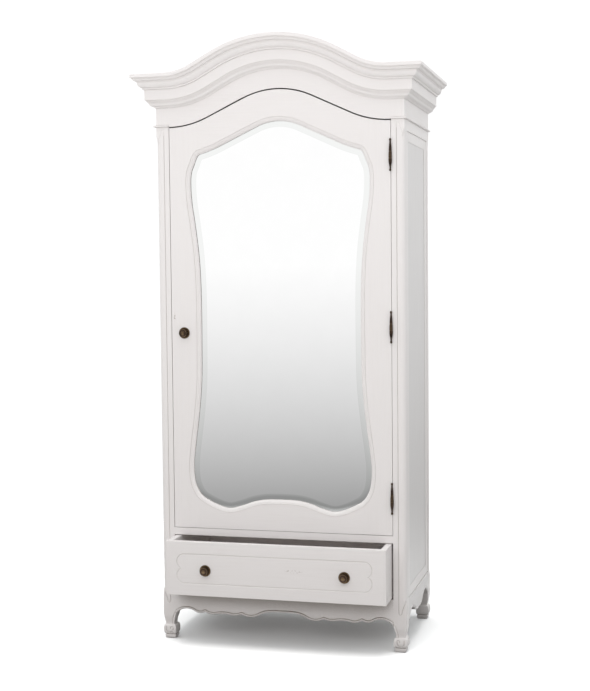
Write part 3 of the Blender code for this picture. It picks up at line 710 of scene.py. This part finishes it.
def make_apron(name, waves, half, top, place_point, material):
    """A board with a scalloped lower edge and the bead that follows it."""
    right = path(*waves, steps=14)
    line = np.array([(-x, z) for x, z in reversed(right[1:])] + right)
    line[:, 0] *= half / abs(line[0, 0])
    run = np.gradient(line, axis=0)
    stretch = np.clip(np.hypot(run[:, 0], run[:, 1]) / np.abs(run[:, 0]), 1, 1.7)
    rings = []
    for (x, z), k in zip(line, stretch):
        ring = [(x, z, RAIL_THICK)]
        ring += [(x, z + lift * k, depth) for lift, depth in APRON_BEAD]
        ring += [(x, top - 0.0006, 0.0), (x, top, 0.0006), (x, top, RAIL_THICK)]
        rings.append([place_point(*point) for point in ring])
    place(loft(name, rings, material), "carcass", "painted_wood", name)


def make_aprons():
    def at_front(x, z, depth):
        return (x, FRONT + depth, z)

    make_apron("front_apron", FRONT_WAVES, BAY, APRON_TOP, at_front, PAINT_APRON)
    for side, name in SIDES:
        name = f"side_apron_{name}"

        def at_side(x, z, depth, side=side):
            return (side * (SIDE - depth), MIDDLE + x, z)

        make_apron(name, SIDE_WAVES, PANEL_HALF + GAP, ends(name, "z")[1], at_side, PAINT_SIDE_APRON_SHADED)


def make_rails():
    low, high = RAIL_Z
    outline = [(FRONT, low), (FRONT, high), (FRONT + POST_DEEP, high), (FRONT + POST_DEEP, low)]
    rail = plate("middle_rail", outline, yz_plane, -BAY, BAY, PAINT_ACROSS, lambda a, b: abs(a.x - b.x) > 0.1)
    place(rail, "carcass", "painted_wood", "middle_rail")
    lower = arch_line(DOOR_ARCH, -ARCH_SEAM / 2, BAY)
    upper = arch_line(CROWN_ARCH, 0.010, BAY)

    def under_arch(a, b):
        return max(a.z, b.z) < arch_height(DOOR_ARCH, a.x, -ARCH_SEAM / 2) + 0.004

    outline = lower + upper[::-1]
    head = plate("head_board", outline, xz_plane, FRONT, FRONT + RAIL_THICK, PAINT_ARCH, under_arch)
    place(head, "carcass", "painted_wood", "head_board")
    for side, name in SIDES:
        name = f"side_top_rail_{name}"
        low = ends(name, "z")[0]
        near, far = MIDDLE - PANEL_HALF - GAP, MIDDLE + PANEL_HALF + GAP
        outline = [(near, low), (far, low), (far, POST_TOP), (near, POST_TOP)]

        def at_foot(a, b, low=low):
            return max(a.z, b.z) < low + 0.001

        x = sorted((side * (SIDE - RAIL_THICK), side * SIDE))
        place(plate(name, outline, yz_plane, *x, PAINT_DEEP, at_foot), "carcass", "painted_wood", name)


# Inset from the frame's edge and how far it stands out from the panel, across the side's bevelled moulding.
SIDE_PROFILE = path(*mm(
    (0, 0.3), (0, 1.6), (1.4, 1.6), (6, 4, -0.6), (8, 4.2, 0.2), (34.5, 1.6, 0.3), (36, 1.2), (36, 0.3),
), steps=5)


def make_side_mouldings():
    """A mitred frame on each side panel."""
    for side, name in SIDES:
        rings = []
        for v, h in ((-1, 0), (1, 0), (1, 1), (-1, 1)):
            corner_y, corner_z = MIDDLE + v * PANEL_HALF, PANEL_Z[h]
            inward_z = 1 - 2 * h
            ring = [
                (side * (PANEL_FACE + out), corner_y - v * inset, corner_z + inward_z * inset)
                for inset, out in SIDE_PROFILE
            ]
            rings.append(ring)
        moulding = loft(f"side_moulding_{name}", rings, PAINT_UP, closed=True)
        place(moulding, "carcass", "painted_wood", f"side_moulding_{name}")


# ---- crown ----
# How far each moulding stands out and its drop below the cornice's top.
CORNICE = path(*mm(
    (0.3, 0), (72.2, 0), (74, 1.8, 0.6), (74, 11.8), (72.6, 13.4, 0.5), (69, 13.8), (69, 15.8),
    (66.8, 16.2), (56, 24.2, -2.6), (54.5, 24.4), (54.5, 27.6), (52.6, 28), (40.2, 47.4, -4), (38.6, 47.8),
    (38.6, 52.4), (37.6, 53.2), (0.3, 53.2),
), steps=7)
FRIEZE = path(*mm(
    (0.3, 53.4), (32.4, 53.4), (32.4, 90.4), (31.6, 91.2), (29.6, 91.4), (29.6, 92.8), (28.4, 93.2),
    (27.2, 96.2, 0.9), (25.8, 96.4), (24.6, 99.2, 0.9), (23.2, 99.4), (21.8, 102, 0.9), (20.4, 102.2),
    (19.6, 103.4), (10, 113, -2.2), (8.6, 113.2), (8, 114.4), (4, 117.2, 1), (3.6, 118), (0.3, 118),
), steps=6)


def make_crown_tier(tier, profile):
    """One moulding round three sides: level returns, mitred corners and the arched front."""

    def level_ring(side, y_at):
        return [(side * (SIDE + reach), y_at(reach), CROWN_LEVEL - drop) for reach, drop in profile]

    front = []
    for x, z, angle in arch_stations(CROWN_ARCH):
        right, down = -math.sin(angle), -math.cos(angle)
        front.append([(x + right * drop, FRONT - reach, z + down * drop) for reach, drop in profile])
    rings = [level_ring(-1, lambda reach: BACK), level_ring(-1, lambda reach: FRONT - reach), *front]
    rings += [level_ring(1, lambda reach: FRONT - reach), level_ring(1, lambda reach: BACK)]
    nodes = [f"{tier}_{part}" for part in ("front", "left", "right")]
    place(loft(tier, rings, PAINT_ACROSS), "carcass", "painted_wood", *nodes)


def make_astragals():
    """A half-round bead on each corner, from the door's edge round to the back."""
    low, high = ends("astragal_left", "z")
    centre, radius = (low + high) / 2, (high - low) / 2 - GAP
    root = FRONT - ends("astragal_left", "y")[0] - radius
    profile = [(GAP, low), (root - 0.0008, low + 0.0004)]
    for i in range(13):
        turn = math.radians(-90 + 180 * i / 12)
        profile.append((root + radius * math.cos(turn), centre + radius * math.sin(turn)))
    profile += [(root - 0.0008, high - 0.0004), (GAP, high)]
    for side, name in SIDES:
        rings = [
            [(side * (BAY + GAP), FRONT - out, z) for out, z in profile],
            [(side * (SIDE + out), FRONT - out, z) for out, z in profile],
            [(side * (SIDE + out), BACK, z) for out, z in profile],
        ]
        bead = loft(f"astragal_{name}", rings, PAINT_DEEP)
        place(bead, "carcass", "painted_wood", f"astragal_{name}")


# ---- door ----
# Offset outwards from the sight line and depth behind the door's face, across the mirror's moulding.
MOULDING = path(*mm(
    (16.8, 0.4), (16, 1.6), (15.2, 0.6), (14.4, 0.2), (10, 1.4, -0.7), (9.4, 2.4), (8.2, 2.6),
    (1.6, 7.8, 0.9), (0.4, 8.4), (0, 9.2), (0.4, 9.9), (2.8, 10.1), (2.8, 12.2), (16.8, 12.2),
), steps=5)


def clip(line, x, keep_right):
    """The stretch of a line on one side of the upright at x, cut cleanly where it crosses."""
    kept = []
    for a, b in zip(line, line[1:]):
        a_in, b_in = ((p[0] > x) == keep_right for p in (a, b))
        if a_in and not kept:
            kept.append(a)
        if a_in != b_in:
            kept.append((x, a[1] + (x - a[0]) / (b[0] - a[0]) * (b[1] - a[1])))
        if b_in:
            kept.append(b)
    return kept


DOOR_BOTTOM = RAIL_Z[1] + SILL_SEAM
DOOR_SIDES = {-1: -BAY + LATCH_SEAM, 1: BAY - HINGE_SEAM}


def outer_edge(a, b):
    """True on the door's outer edges, and not where its stiles, rails and moulding meet."""

    def outside(p):
        rim = p.x < DOOR_SIDES[-1] + 0.001 or p.x > DOOR_SIDES[1] - 0.001 or p.z < DOOR_BOTTOM + 0.001
        return rim or p.z > arch_height(DOOR_ARCH, p.x, ARCH_SEAM / 2) - 0.002

    a_on_joint, b_on_joint = (abs(abs(p.x) - DOOR_JOINT) < 0.001 for p in (a, b))
    along_joint = a_on_joint and (b_on_joint or abs(a.y - b.y) > 0.01)
    return outside(a) and outside(b) and not along_joint


def make_door_frame(sight):
    """Four boards cut round the mirror's moulding, the top ones also to the door's arch."""
    opening = [tuple(p) for p in offset_line(sight, MOULDING[0][0] - 0.0002)]
    start = min(range(len(opening)), key=lambda i: (abs(opening[i][0]), -opening[i][1]))
    opening = opening[start:] + opening[:start]
    bottom = min((i for i in range(len(opening)) if opening[i][1] < 1), key=lambda i: abs(opening[i][0]))
    right = opening[: bottom + 1]
    right[0] = (0.0, right[0][1])
    right[-1] = (0.0, right[-1][1])
    lowest = min(z for _, z in right)
    inner = clip(right, DOOR_JOINT, False)
    sill = [p for p in inner if p[1] < lowest + 0.1]
    head = [p for p in inner if p[1] > lowest + 1.0]
    head_full = [(-x, z) for x, z in reversed(head[1:])] + head
    sill_full = [(-x, z) for x, z in sill[:-1]] + sill[::-1]
    outlines = {
        "door_top_rail": arch_line(DOOR_ARCH, ARCH_SEAM / 2, DOOR_JOINT) + head_full[::-1],
        "door_bottom_rail": [(-DOOR_JOINT, DOOR_BOTTOM)] + sill_full + [(DOOR_JOINT, DOOR_BOTTOM)],
    }
    for side, name in SIDES:
        half = abs(DOOR_SIDES[side])
        rim = clip(arch_line(DOOR_ARCH, ARCH_SEAM / 2, half), DOOR_JOINT, True)
        stile = rim + [(half, DOOR_BOTTOM), (DOOR_JOINT, DOOR_BOTTOM)] + clip(right, DOOR_JOINT, True)[::-1]
        outlines[f"door_stile_{name}"] = [(side * x, z) for x, z in stile]
    paints = {"door_top_rail": PAINT_ARCH, "door_stile_right": PAINT_UP, "door_stile_left": PAINT_STILE}
    for name, outline in outlines.items():
        paint = paints.get(name, PAINT_ACROSS)
        board = plate(name, outline, xz_plane, FRONT, DOOR_BACK, paint, outer_edge)
        place(board, "door", "painted_wood", name)


def make_mirror(sight):
    """The moulding round the mirror, and the glass with its bevelled border."""
    lines = [offset_line(sight, margin) for margin, _ in MOULDING]
    rings = []
    for i in range(len(sight)):
        rings.append([(line[i][0], FRONT + depth, line[i][1]) for line, (_, depth) in zip(lines, MOULDING)])
    place(loft("mirror_moulding", rings, PAINT_UP, closed=True), "door", "painted_wood", "mirror_moulding")

    bm = bmesh.new()
    edges = [(0.0150, GLASS_BACK), (0.0150, GLASS_FRONT + BEVEL_DEPTH), (-BEVEL_WIDTH, GLASS_FRONT)]
    loops = [[bm.verts.new((x, y, z)) for x, z in offset_line(sight, margin)] for margin, y in edges]
    bridge(bm, loops)
    bm.faces.new(loops[0])
    field = bm.faces.new(loops[-1])
    layer = bm.loops.layers.float_color.new("bevel")
    for face in bm.faces:
        for corner in face.loops:
            corner[layer] = (0, 0, 0, 1) if face == field else (1, 1, 1, 1)
    glass = finish_mesh("mirror", bm, MIRROR, smooth_angle=2)
    place(glass, "door", "mirror", "mirror")


# ---- drawer ----
LOBE_RIGHT = 0.332
LOBE_LEFT = 0.340
LOBE_Z = (DRAWER_Z[0] + DRAWER_Z[1]) / 2
LOBE_APART = 0.025  # half the distance between the two arcs' centres at each end
LOBE_RADIUS = 0.029
# Offset outwards from the incised line and depth behind the drawer's face.
INCISION = mm(
    (2.4, 0), (1.4, 0.6), (0.6, 1.8), (0, 2.1), (-0.6, 1.8), (-1.6, 0.4), (-3.2, 0),
)


def cartouche(offset):
    """The incised line, clockwise from the top right: straight above and below, two lobes at each end."""
    radius = LOBE_RADIUS + offset
    cusp = math.asin(LOBE_APART / radius)
    right = []
    for start, end, centre in ((math.pi / 2, -cusp, 1), (cusp, -math.pi / 2, -1)):
        for angle in np.linspace(start, end, 17)[0 if centre > 0 else 1 :]:
            x = radius * math.cos(angle)
            right.append((x, LOBE_Z + centre * LOBE_APART + radius * math.sin(angle)))
    left = [(-LOBE_LEFT - x, z) for x, z in reversed(right)]
    return [(LOBE_RIGHT + x, z) for x, z in right] + left


def make_drawer_front():
    """A board with eased edges and the line cut into its face."""
    bm = bmesh.new()

    def loop(points, y):
        return [bm.verts.new((x, y, z)) for x, z in points]

    def rectangle(inset):
        half, low, high = DRAWER_HALF - inset, DRAWER_Z[0] + inset, DRAWER_Z[1] - inset
        return [(-half, high), (half, high), (half, low), (-half, low)]

    rims = [(0.0, DRAWER_FRONT_BACK), (0.0, DRAWER_FACE + 0.0020), (0.0006, DRAWER_FACE + 0.0006)]
    rims += [(0.0020, DRAWER_FACE)]
    outer = [loop(rectangle(inset), y) for inset, y in rims]
    bridge(bm, outer)
    bm.faces.new(outer[0])
    lines = [loop(cartouche(margin), DRAWER_FACE + depth) for margin, depth in INCISION]
    bridge(bm, lines)
    bm.faces.new(lines[-1])
    rim_edges = []
    for ring in (outer[-1], lines[0]):
        for i in range(len(ring)):
            pair = (ring[i], ring[(i + 1) % len(ring)])
            rim_edges.append(bm.edges.get(pair) or bm.edges.new(pair))
    bmesh.ops.triangle_fill(bm, use_beauty=True, use_dissolve=False, edges=rim_edges)
    front = finish_mesh("drawer_front", bm, PAINT_DRAWER)
    place(front, "drawer", "painted_wood", "drawer_front")


# ---- hardware ----
# Radius and distance out from the wood.
KNOB = path(*mm(
    (0, 0.3), (20.4, 0.3), (21, 1), (20.8, 2.2, 0.2), (19.2, 3.4, 0.3), (18, 2.6), (17, 2.6), (16.2, 4),
    (14.6, 4.6, 0.5), (13.6, 3.6), (10.8, 3.4), (9.2, 4.6), (7, 6), (6, 9.5, -0.6), (6.8, 12.2),
    (10, 14.2, -0.5), (13.6, 16), (14.8, 18.6, 0.6), (14.2, 21.2, 0.4), (12.6, 22.2), (11.4, 21.4),
    (10.4, 21.4), (9.8, 22.4), (4, 25.6, 0.7), (0, 26),
), steps=3)
# Distance from the knob's axis and how much lighter metal shows there: rubbed wear and painted highlight
# rings.
KNOB_WEAR_AND_HIGHLIGHT = [(0, 0.34), (0.004, 0.26), (0.0075, 0.12), (0.009, 0), (0.0122, 0), (0.0134, 0.34)]
KNOB_WEAR_AND_HIGHLIGHT += [(0.0144, 0.34), (0.015, 0), (0.0168, 0.1), (0.018, 0.6), (0.0194, 0.6), (0.0205, 0.08)]


def add_wear_and_highlight(bm, amount):
    """Stores on every point how much lighter metal shows there: rubbed patina and painted highlight."""
    layer = bm.verts.layers.float.new("wear_and_highlight")
    for vert in bm.verts:
        vert[layer] = amount(vert.co)


def make_knobs():
    spots = {"door_knob": "door", "drawer_knob_left": "drawer", "drawer_knob_right": "drawer"}
    away, rubbed_and_highlit = zip(*KNOB_WEAR_AND_HIGHLIGHT)
    for name, body in spots.items():
        low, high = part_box(name)
        x, y, z = (low.x + high.x) / 2, high.y + GAP, (low.z + high.z) / 2

        # rubbed wear and painted highlight rings, less in the neck
        def wear_and_highlight(p, x=x, y=y, z=z):
            neck = 0.15 if 0.005 < y - p.y < 0.0125 else 1.0
            return neck * float(np.interp(math.hypot(p.x - x, p.z - z), away, rubbed_and_highlit))

        bm = bmesh.new()
        add_turning(bm, KNOB, (x, y, z), "y", 48)
        add_wear_and_highlight(bm, wear_and_highlight)
        knob = finish_mesh(name, bm, BRONZE, smooth_angle=50)
        place(knob, body, "bronze_hardware", name)


HINGE_BORE = 0.0028
KNUCKLE_END = 0.036
MIDDLE_KNUCKLE = 0.0117
# Height above the hinge's middle and the barrel's radius there: a spindle, fuller below the middle.
SPINDLE = mm((-36, 4.1), (-31, 5), (-24, 6), (-14, 6.2), (-2, 6), (12, 5.4), (25, 4.6), (36, 4))


def barrel(height):
    """The barrel's radius at a height above the hinge's middle."""
    heights, radii = zip(*SPINDLE)
    return float(np.interp(height, heights, radii))


def knuckle_profile(low, high):
    """A stretch of the barrel with a ring and a groove near each end."""
    steps = (0.0004, 0.0009, 0.0013, 0.0018, 0.0023)
    heights = [low + step for step in steps]
    heights += list(np.linspace(low + 0.0039, high - 0.0039, 6))
    heights += [high - step for step in reversed(steps)]
    profile = [(HINGE_BORE, low), (barrel(low) - 0.0005, low)]
    for i, height in enumerate(heights):
        sunk = 0.0007 if i in (2, 3, len(heights) - 3, len(heights) - 4) else 0.0
        profile.append((barrel(height) - sunk, height))
    return profile + [(barrel(high) - 0.0005, high), (HINGE_BORE, high)]


# Radius and height above the hinge's middle.
FINIAL = path(*mm(
    (2.4, 36.4), (4, 36.4), (4.3, 37.4), (4, 38.4), (2.8, 39.4, -0.3), (2.6, 40.4), (3.7, 41.6, 0.3),
    (3.7, 42.8), (2.6, 44, 0.3), (2.5, 45.2), (3.3, 46.2, 0.2), (3.3, 47), (2.4, 48, 0.2), (2.4, 49.2),
    (4.1, 51.6, -0.2), (4.2, 54, 0.4), (3.4, 56.5, 0.4), (1.5, 58),
), steps=3)


def hinge_wear_and_highlight(centre):
    """Painted highlight and wear: brighter on the barrel's full middle, at the middle knuckle's joints and on
    the crowns of the beads.
    """

    def wear_and_highlight(p):
        away = math.hypot(p.x - centre[0], p.y - centre[1])
        height = p.z - centre[2]
        if abs(height) > KNUCKLE_END:
            return 0.12 * (away > 0.0036)
        # painted highlight on the barrel's belly and at the knuckle joints
        belly = 0.13 * max(0.0, 1 - abs(height + 0.004) / 0.026)
        ring = 0.45 * (abs(abs(height) - MIDDLE_KNUCKLE) < 0.0012)
        return max(belly, ring) * (away > barrel(height) - 0.0006)

    return wear_and_highlight


def make_hinges():
    joint = next(j for j in frame["joints"] if j["name"] == "door_hinge")
    x, y = joint["pos_m"][:2]
    below = [(r, -h) for r, h in reversed(FINIAL)]
    frame_knuckles = [(MIDDLE_KNUCKLE + GAP, KNUCKLE_END), (-KNUCKLE_END, -MIDDLE_KNUCKLE - GAP)]
    for name in ("top", "middle", "bottom"):
        low, high = ends(f"hinge_{name}_pin", "z")
        centre = (x, y, (low + high) / 2)
        tip = high - centre[2]
        bm = bmesh.new()
        add_turning(bm, [(0, -tip), *below, *FINIAL, (0, tip)], centre, "z", 32)
        add_wear_and_highlight(bm, hinge_wear_and_highlight(centre))
        pin = finish_mesh(f"hinge_{name}_pin", bm, BRONZE, smooth_angle=50)
        place(pin, "carcass", "bronze_hardware", f"hinge_{name}_pin")
        make_leaf(f"hinge_{name}_frame_leaf", "carcass", centre, frame_knuckles)
        make_leaf(f"hinge_{name}_door_leaf", "door", centre, [(-MIDDLE_KNUCKLE, MIDDLE_KNUCKLE)])


def make_leaf(name, body, centre, knuckles):
    """The knuckles of one leaf and the plate that screws to the wood."""
    bm = bmesh.new()
    for low, high in knuckles:
        add_turning(bm, knuckle_profile(low, high), centre, "z", 32)
    x_low, x_high = centre[0] + 0.0002, centre[0] + 0.0012
    if body == "door":
        x_low, x_high = centre[0] - 0.0012, centre[0] - 0.0002
    near, far = centre[1] + 0.0066, ends(name, "y")[1]
    for low, high in knuckles:
        root, end = centre[1] + 0.0036, near + 0.0002
        z0, z1 = centre[2] + low + 0.0004, centre[2] + high - 0.0004
        block = [(root, z0), (end, z0), (end, z1), (root, z1)]
        add_prism(bm, block, yz_plane, x_low + 0.0001, x_high - 0.0001)
    bottom, top = centre[2] - KNUCKLE_END, centre[2] + KNUCKLE_END
    corner = 0.003
    rounded = [(far - corner, bottom), (far, bottom + corner, -0.0009)]
    rounded += [(far, top - corner), (far - corner, top, -0.0009)]
    leaf = path((near, bottom), *rounded, (near, top), steps=4)
    add_prism(bm, leaf, yz_plane, x_low, x_high)
    add_wear_and_highlight(bm, hinge_wear_and_highlight(centre))
    place(finish_mesh(name, bm, BRONZE, smooth_angle=40), body, "bronze_hardware", name)


# ---- inside ----
def make_back_panel():
    """Upright matched boards with a V joint between neighbours."""
    low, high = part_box("back_panel")
    boards = 9
    pitch = (high.x - low.x) / boards
    vee = 0.0022
    line = []
    for i in range(boards):
        left, right = low.x + i * pitch, low.x + (i + 1) * pitch
        line += [(left + (vee if i else 0), 0.0), (right - (vee if i < boards - 1 else 0), 0.0)]
        if i < boards - 1:
            line.append((right, vee))
    front = [(x, low.y + d) for x, d in line]
    back = [(x, high.y - d) for x, d in reversed(line)]
    panel = plate("back_panel", front + back, xy_plane, low.z, high.z, INNER_UP, lambda a, b: False)
    place(panel, "carcass", "inner_wood", "back_panel")


def make_hanging_rail():
    """Turned steel rail with a cupped end plate at each batten."""
    low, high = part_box("hanging_rail")
    radius = (high.z - low.z) / 2
    centre = ((low.x + high.x) / 2, (low.y + high.y) / 2, (low.z + high.z) / 2)
    half = (high.x - low.x) / 2
    inner = half - 0.0205
    cup = mm((0, -6), (4, -5), (4.6, -3), (10, -2.4), (12, -1.2), (12, 0), (0, 0))
    right = [(radius + out, inner + x) for out, x in cup] + [(radius, half)]
    bm = bmesh.new()
    profile = [(0, -half)] + [(r, -x) for r, x in reversed(right)] + right + [(0, half)]
    add_turning(bm, profile, centre, "x", 40)
    rail = finish_mesh("hanging_rail", bm, STEEL, smooth_angle=40)
    place(rail, "carcass", "steel_fittings", "hanging_rail")


def finish_kept_nodes():
    """The CAD boards whose shape is already right get their finishes."""
    finishes = {
        PAINT_PANEL_SHADED: ["side_panel_left", "side_panel_right"],
        PAINT_DEEP: ["drawer_side_left", "drawer_side_right"],
        PAINT_ACROSS: ["drawer_back", "drawer_bottom"],
        INNER_UP: ["mirror_back"],
        INNER_ACROSS: ["hat_shelf", "compartment_floor", "rear_top_rail", "rear_bottom_rail", "top_panel"],
        INNER_DEEP: ["drawer_runner_left", "drawer_runner_right", "shelf_batten_left", "shelf_batten_right"],
        STEEL: ["magnetic_catch", "catch_strike"],
    }
    for material, nodes in finishes.items():
        for node in nodes:
            for material_slot in frame["nodes"][node].material_slots:
                material_slot.material = material


# ---- stage ----
CAMERA_FROM_MIDDLE = Vector((1.307114, -5.027619, 1.403295))  # from the middle of the carcass's depth
CAMERA_YAW = math.radians(14.6971)
CAMERA_PITCH = math.radians(3.3903)
CAMERA_ROLL = math.radians(-0.5518)
FOCAL_SHARE = 1.962057887  # focal length over the picture's longer side
SENSOR = 36.0


def make_camera():
    data = bpy.data.cameras.new("camera")
    data.sensor_width = SENSOR
    data.lens = SENSOR * FOCAL_SHARE
    camera = add_object("camera", data)
    level = Vector((math.cos(CAMERA_YAW), math.sin(CAMERA_YAW), 0))
    ahead = Vector((-math.sin(CAMERA_YAW), math.cos(CAMERA_YAW), 0))
    forward = ahead * math.cos(CAMERA_PITCH) - Vector((0, 0, math.sin(CAMERA_PITCH)))
    upright = level.cross(forward)
    right = level * math.cos(CAMERA_ROLL) + upright * math.sin(CAMERA_ROLL)
    up = upright * math.cos(CAMERA_ROLL) - level * math.sin(CAMERA_ROLL)
    turn = Matrix((right, up, -forward)).transposed().to_4x4()
    camera.matrix_world = Matrix.Translation(CAMERA_FROM_MIDDLE + Vector((0, MIDDLE, 0))) @ turn
    bpy.context.scene.camera = camera


FLOOR_RADIUS = 2.9
FLOOR_BOUNCE = 0.2  # its reflectance for light on its way to the wardrobe
FLOOR_LIFT = 0.07  # lightens the shadow to the eye only


def make_floor():
    """A pale matt floor that thins out to nothing before its rim, so that no horizon shows."""
    m = new_material("pale_floor")
    tone = m.noise(m.position(), 1.5, 2.0)
    colour = m.mix(tone, (0.90, 0.90, 0.90), (0.92, 0.92, 0.92))
    rays = m.add("LightPath").outputs
    bounced = rays["Is Diffuse Ray"]
    warm_bounce = (FLOOR_BOUNCE, FLOOR_BOUNCE * 0.97, FLOOR_BOUNCE * 0.93)
    m.set(Base_Color=m.mix(bounced, colour, warm_bounce), Roughness=0.9, Specular_IOR_Level=0.1)
    m.set(Emission_Strength=m.math("MULTIPLY", rays["Is Camera Ray"], FLOOR_LIFT))
    away = m.vector("LENGTH", m.position())["Value"]
    thinning = m.span(away, FLOOR_RADIUS * 0.45, FLOOR_RADIUS * 0.97, 1, 0)
    m.set(Alpha=m.math("MAXIMUM", thinning, bounced))
    bm = bmesh.new()
    bmesh.ops.create_circle(bm, cap_ends=True, segments=96, radius=FLOOR_RADIUS)
    mesh = bpy.data.meshes.new("floor")
    bm.to_mesh(mesh)
    bm.free()
    mesh.materials.append(m.owner)
    floor = add_object("floor", mesh)
    return floor


SKY_BELOW = 1.22  # diffuse light from below the horizon
SKY_ABOVE = 1.71  # and from straight overhead; the horizon itself gives none
GLOSS_FALL = (2.2, 8.0)  # how fast reflections fade below the horizon
GLOSS_LEAST = 0.30
CAMERA_WHITE = 1.05
WARM = (1.0, 0.975, 0.965)
COOL = (0.975, 1.0, 1.005)
LIGHTS = {
    "key": ((0.0, -4.2, 2.1), (0.0, 0.0, 1.3), (2.6, 2.4), 46, WARM),
    "floor_wash": ((0.0, -1.0, 5.0), (0.0, -0.2, 0.0), (3.0, 3.0), 185, (1.0, 0.985, 0.975)),
}


def make_world():
    """A white studio to the eye; reflections fade to grey below the horizon; diffuse light is softer."""
    world = bpy.data.worlds.new("studio")
    w = Nodes(world)
    w.tree.nodes.clear()

    def times(a, b):
        return w.math("MULTIPLY", a, b)

    rays = w.add("LightPath").outputs
    direction = w.add("TexCoord").outputs["Generated"]
    x, y, z = w.add("SeparateXYZ", {0: direction}).outputs
    level = w.math("SQRT", w.math("ADD", times(x, x), times(y, y)), 0)
    down = w.math("MAXIMUM", times(w.math("DIVIDE", z, level), -1.0), 0.0)
    fall = times(down, w.math("ADD", GLOSS_FALL[0], times(down, GLOSS_FALL[1])))
    gloss = w.math("MAXIMUM", w.math("SUBTRACT", 1.0, fall), GLOSS_LEAST)
    gloss = w.math("DIVIDE", gloss, MIRROR_SILVER)
    above = times(w.math("MAXIMUM", z, 0.0), SKY_ABOVE)
    sky = w.math("ADD", above, times(w.math("LESS_THAN", z, 0.0), SKY_BELOW))
    to_camera, to_gloss = rays["Is Camera Ray"], rays["Is Glossy Ray"]
    diffuse = times(w.math("SUBTRACT", 1.0, to_camera), w.math("SUBTRACT", 1.0, to_gloss))
    strength = w.math("ADD", times(to_camera, CAMERA_WHITE), times(to_gloss, gloss))
    strength = w.math("ADD", strength, times(diffuse, sky))
    colour = w.mix(diffuse, (1, 1, 1), COOL)
    background = w.add("Background", {"Color": colour, "Strength": strength})
    w.add("OutputWorld", {0: background.outputs[0]})
    bpy.context.scene.world = world


def add_light(name, location, target, size, power, colour):
    data = bpy.data.lights.new(name, "AREA")
    data.shape = "RECTANGLE"
    data.size, data.size_y = size
    data.energy = power
    data.color = colour
    light = add_object(name, data)
    light.location = location
    light.rotation_euler = (Vector(target) - Vector(location)).to_track_quat("-Z", "Y").to_euler()
    light.visible_glossy = False
    return light


def make_stage():
    floor = make_floor()
    make_world()
    lights = {name: add_light(name, *facts) for name, facts in LIGHTS.items()}
    only_floor = bpy.data.collections.new("floor_only")
    only_floor.objects.link(floor)
    lights["floor_wash"].light_linking.receiver_collection = only_floor
    bpy.context.scene.view_settings.view_transform = "Standard"


def main():
    sight = mirror_sight_line()
    make_posts()
    make_aprons()
    make_rails()
    make_side_mouldings()
    make_crown_tier("cornice", CORNICE)
    make_crown_tier("frieze", FRIEZE)
    make_astragals()
    make_door_frame(sight)
    make_mirror(sight)
    make_drawer_front()
    make_knobs()
    make_hinges()
    make_back_panel()
    make_hanging_rail()
    finish_kept_nodes()
    make_stage()
    make_camera()


main()
